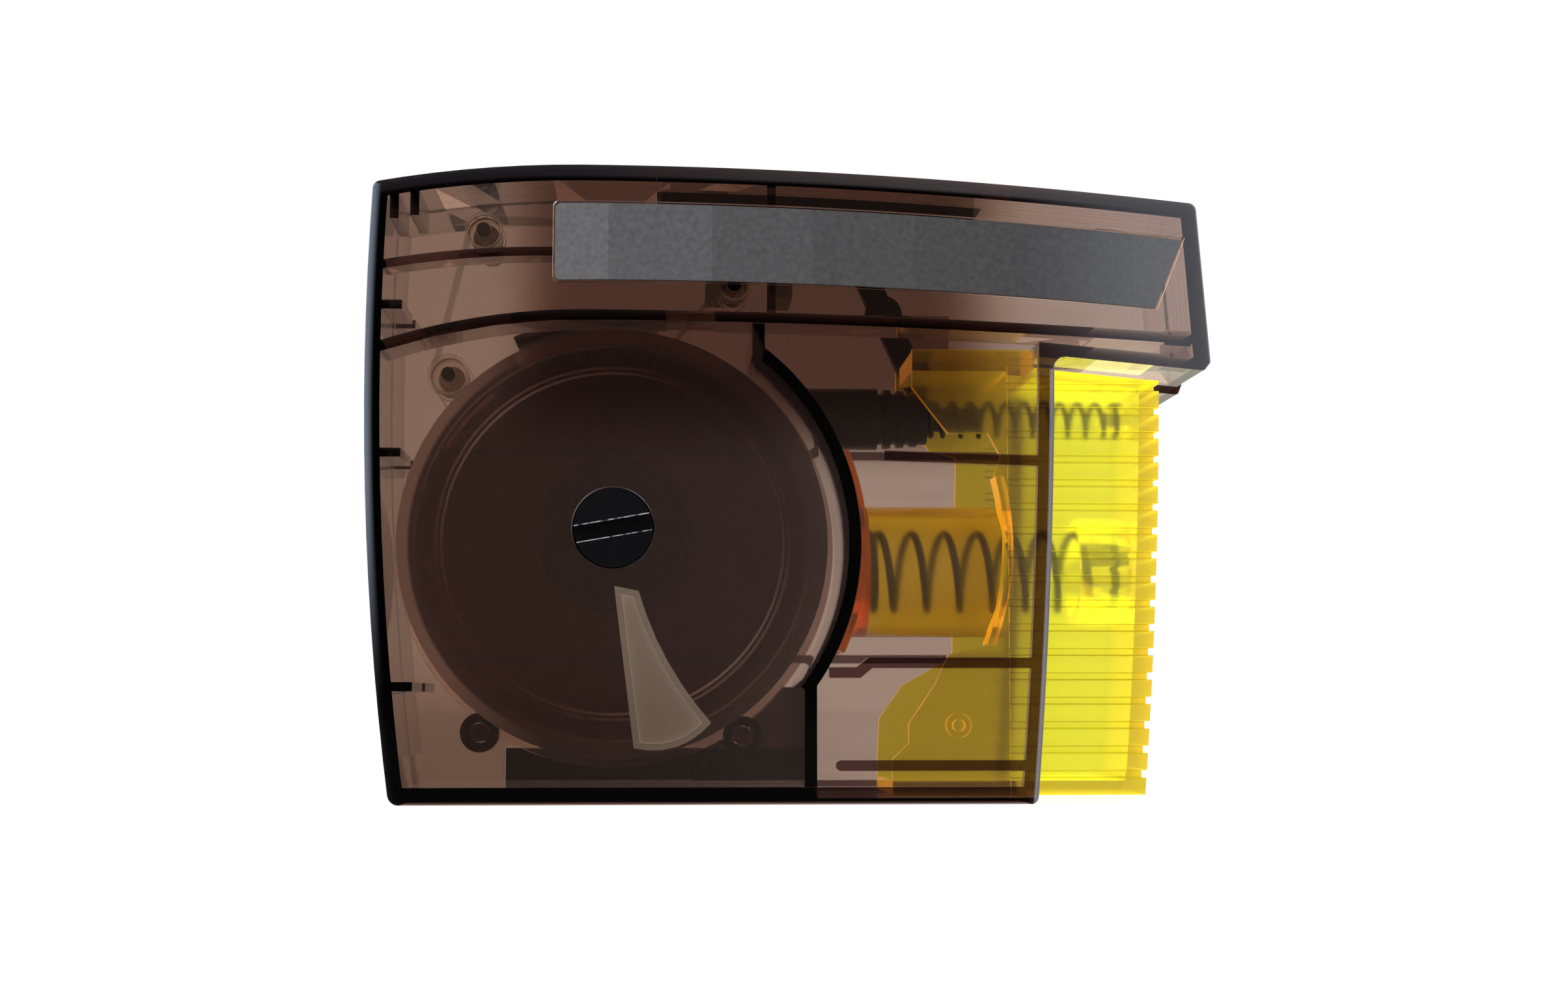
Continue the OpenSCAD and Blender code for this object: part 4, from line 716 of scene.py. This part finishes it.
hazy_yellow = tinted("hazy_yellow_plastic", TUBE_YELLOW, WALL, 0.16, tube_colour, 0.05 * MM, flange_painted_light)
dress(hazy_yellow, "spring_tube")

# The arm on the lever that pushes the take-up reel round is a bar of smoky plastic, and the toothed wheel on
# the reel, which it pushes, is clear plastic.
ARM_SMOKE = (0.5, 0.4, 0.36)
dress(tinted("arm_smoke_plastic", ARM_SMOKE, WALL, 0.05), "feed_arm")
dress(tinted("clear_plastic", CLEAR, WALL, 0.05), "ratchet_wheel")

# The reel hubs, the spring's post, the window frame, the shutter and its rocker are black plastic, moulded
# with a fine satin grain. The larger ones have slightly rounded edges.
BLACKS = ((0.005, 0.005, 0.006), (0.010, 0.010, 0.011))
black = solid("black_plastic", BLACKS, 0.28, shine=0.3)
dress(black, "take_up_hub", "supply_hub", "spring_post", "window_frame", "shutter", "shutter_rocker")
for name, width in (("window_frame", 0.2), ("shutter", 0.15), ("shutter_rocker", 0.2)):
    soften(name, width * MM)

# The pins are steel: a bright one for the rocker, and three duller ones for the rollers of the tape.
# They stay where they are while the pieces turn on them.
STEEL_GRAIN = (0.2 * MM, 0.003 * MM)
BRIGHT_STEEL = ((0.16, 0.155, 0.15), (0.24, 0.235, 0.23))
DULL_STEEL = ((0.05, 0.04, 0.035), (0.08, 0.065, 0.055))
dress(solid("steel", BRIGHT_STEEL, 0.2, *STEEL_GRAIN, metal=1.0), "rocker_pin")
dress(solid("dull_steel", DULL_STEEL, 0.45, *STEEL_GRAIN, metal=0.6), "guide_pins")

# The springs are wound from dark steel wire. Each is a helix with closed ends that rides on the case.
DARK_STEEL = ((0.035, 0.033, 0.032), (0.06, 0.057, 0.055))
WIRE_SIDES = 10
TURN_RINGS = 28
CLOSED_SHARE = 1.05
dark_steel = solid("dark_steel", DARK_STEEL, 0.3, *STEEL_GRAIN, metal=1.0)
squeeze = next(j for j in frame["record"]["behaviour"]["joints"] if j["name"] == "lever_squeeze")
TRAVEL = squeeze["range_m"][1]


def spring(name, node, wire, free_turns):
    low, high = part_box(node)
    radius = (high.z - low.z - wire) / 2
    middle = (low.z + high.z) / 2
    rings = (free_turns + 2) * TURN_RINGS
    closed = wire * CLOSED_SHARE
    free = (high.x - low.x - wire - 2 * closed) / free_turns
    work = bmesh.new()
    last = None
    for i in range(rings + 1):
        t = i / TURN_RINGS
        x = low.x + wire / 2 + closed * min(t, 1) + free * min(max(t - 1, 0), free_turns)
        x += closed * max(t - free_turns - 1, 0)
        outward = Vector((0, -sin(2 * pi * t), cos(2 * pi * t)))
        centre = Vector((x, 0, middle)) + outward * radius
        ring = []
        for k in range(WIRE_SIDES):
            a = 2 * pi * k / WIRE_SIDES
            ring.append(work.verts.new(centre + (outward * cos(a) + Vector((1, 0, 0)) * sin(a)) * wire / 2))
        if last:
            for k in range(WIRE_SIDES):
                n = (k + 1) % WIRE_SIDES
                work.faces.new((last[k], last[n], ring[n], ring[k])).smooth = True
        else:
            work.faces.new(ring)
        last = ring
    work.faces.new(last)
    bmesh.ops.recalc_face_normals(work, faces=work.faces)
    mesh = bpy.data.meshes.new(name)
    work.to_mesh(mesh)
    mesh.materials.append(dark_steel)
    thing = bpy.data.objects.new(name, mesh)
    bpy.context.scene.collection.objects.link(thing)
    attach(thing, "case")
    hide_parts(node)
    length = high.x - low.x
    (length - TRAVEL) / length
    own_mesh(thing)


spring("main_coil_spring", "main_spring", 1.15 * MM, 7)
spring("upper_coil_spring", "upper_spring", 0.8 * MM, 10)

# The tape is a non-woven ribbon, so thin that light comes through it. It runs from the full reel over the
# rollers, and over the foam under the cleaning windows, to the take-up reel.
CLOTH_SHADES = ((0.74, 0.73, 0.69), (0.86, 0.85, 0.82))
CLOTH_FIBRE = 0.12 * MM
CLOTH_RIB = 0.25 * MM


def cloth_finish():
    tree = Tree(bpy.data.materials.new("tape_cloth"))
    fibres = tree.noise(CLOTH_FIBRE, 4.0)
    cross = tree.add("TexWave", {"wave_type": "BANDS", "bands_direction": "Y"}, {
        "Vector": tree.place(),
        "Scale": 0.5 / CLOTH_RIB / pi,
        "Distortion": 1.5,
    })
    return tree.finish({
        "Base Color": tree.blend(fibres, *CLOTH_SHADES),
        "Roughness": fibres * 0.15 + 0.75,
        "Specular IOR Level": 0.2,
        "Normal": tree.bump(cross, 0.02 * MM, tree.bump(fibres, 0.03 * MM)),
        "Alpha": fibres * 0.2 + 0.2,
    })


def own_piece(name, node, body, finish):
    """A piece of its own in the place of a node, made from the node's form."""
    thing = bpy.data.objects.new(name, nodes[node].data.copy())
    bpy.context.scene.collection.objects.link(thing)
    thing.data.materials.clear()
    thing.data.materials.append(finish)
    weld(thing)
    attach(thing, body)
    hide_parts(node)
    return thing


own_piece("tape_ribbon", "cleaning_tape", "case", cloth_finish())

# The tape that is wound on the two hubs is the same cloth. Seen from the side its layers make fine rings,
# light and dark by turns.
LAYER = 0.2 * MM
LAYER_SHADES = ((0.55, 0.54, 0.51), (0.82, 0.81, 0.78))


def wound_finish():
    tree = Tree(bpy.data.materials.new("wound_tape"))
    low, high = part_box("take_up_tape")
    radius = distance(*offset(tree, (low.x + high.x) / 2, (low.z + high.z) / 2))
    layers = (radius * (2 * pi / LAYER)).math("SINE")
    return tree.finish({
        "Base Color": tree.blend(layers * 0.5 + 0.5, *LAYER_SHADES),
        "Roughness": 0.8,
        "Normal": tree.bump(layers, 0.02 * MM),
    })


dress(wound_finish(), "take_up_tape", "supply_tape")

# The platform under the cleaning windows is milky natural plastic. The three guide rollers, which turn on
# their pins as the tape runs over them, are moulded in clear plastic.
NATURAL_SHADES = ((0.50, 0.46, 0.39), (0.58, 0.54, 0.47))
ROLLER_CLEAR = (0.95, 0.93, 0.90)
dress(solid("natural_plastic", NATURAL_SHADES, 0.35), "tape_platform")
roller_plastic = tinted("roller_plastic", ROLLER_CLEAR, WALL, 0.08)
for name in ("lower_guide_roller", "upper_guide_roller", "return_guide_roller"):
    dress(roller_plastic, name)
    soften(name, 0.1 * MM)

# The pad on the platform, which holds the tape up against the windows, is open-cell foam, and the washer that
# brakes the full reel is felt. Both are cut from sheet.
FOAM_SHADES = ((0.20, 0.20, 0.21), (0.34, 0.34, 0.35))
FOAM_PORE = 0.35 * MM
FELT_SHADES = ((0.22, 0.21, 0.20), (0.32, 0.31, 0.30))
FELT_PORE = 0.2 * MM
SWELL_SIZE = 1.5 * MM


def soft_finish(name, shades, pore, depth):
    tree = Tree(bpy.data.materials.new(name))
    cells = tree.add("TexVoronoi", {}, {"Vector": tree.place(), "Scale": 1.0 / pore})
    fibres = tree.noise(pore / 2, 4.0)
    return tree.finish({
        "Base Color": tree.blend(cells, *shades),
        "Roughness": fibres * 0.1 + 0.85,
        "Specular IOR Level": 0.1,
        "Normal": tree.bump(fibres, depth / 2, tree.bump(cells, depth)),
    })


def cushion(name, node, finish, edge, swell):
    """Rounds a soft piece's edges, and lets its faces wander a little."""
    thing = own_piece(name, node, "case", finish)
    bevel(thing, edge, 3)
    cloud = bpy.data.textures.new(name, "CLOUDS")
    cloud.noise_scale = SWELL_SIZE
    push = thing.modifiers.new("swell", "DISPLACE")
    push.texture = cloud
    push.strength = swell
    push.mid_level = 1.0


foam = soft_finish("open_cell_foam", FOAM_SHADES, FOAM_PORE, 0.08 * MM)
felt = soft_finish("grey_felt", FELT_SHADES, FELT_PORE, 0.05 * MM)
cushion("window_foam", "foam_pad", foam, 0.25 * MM, 0.08 * MM)
cushion("reel_felt", "brake_washer", felt, 0.12 * MM, 0.04 * MM)
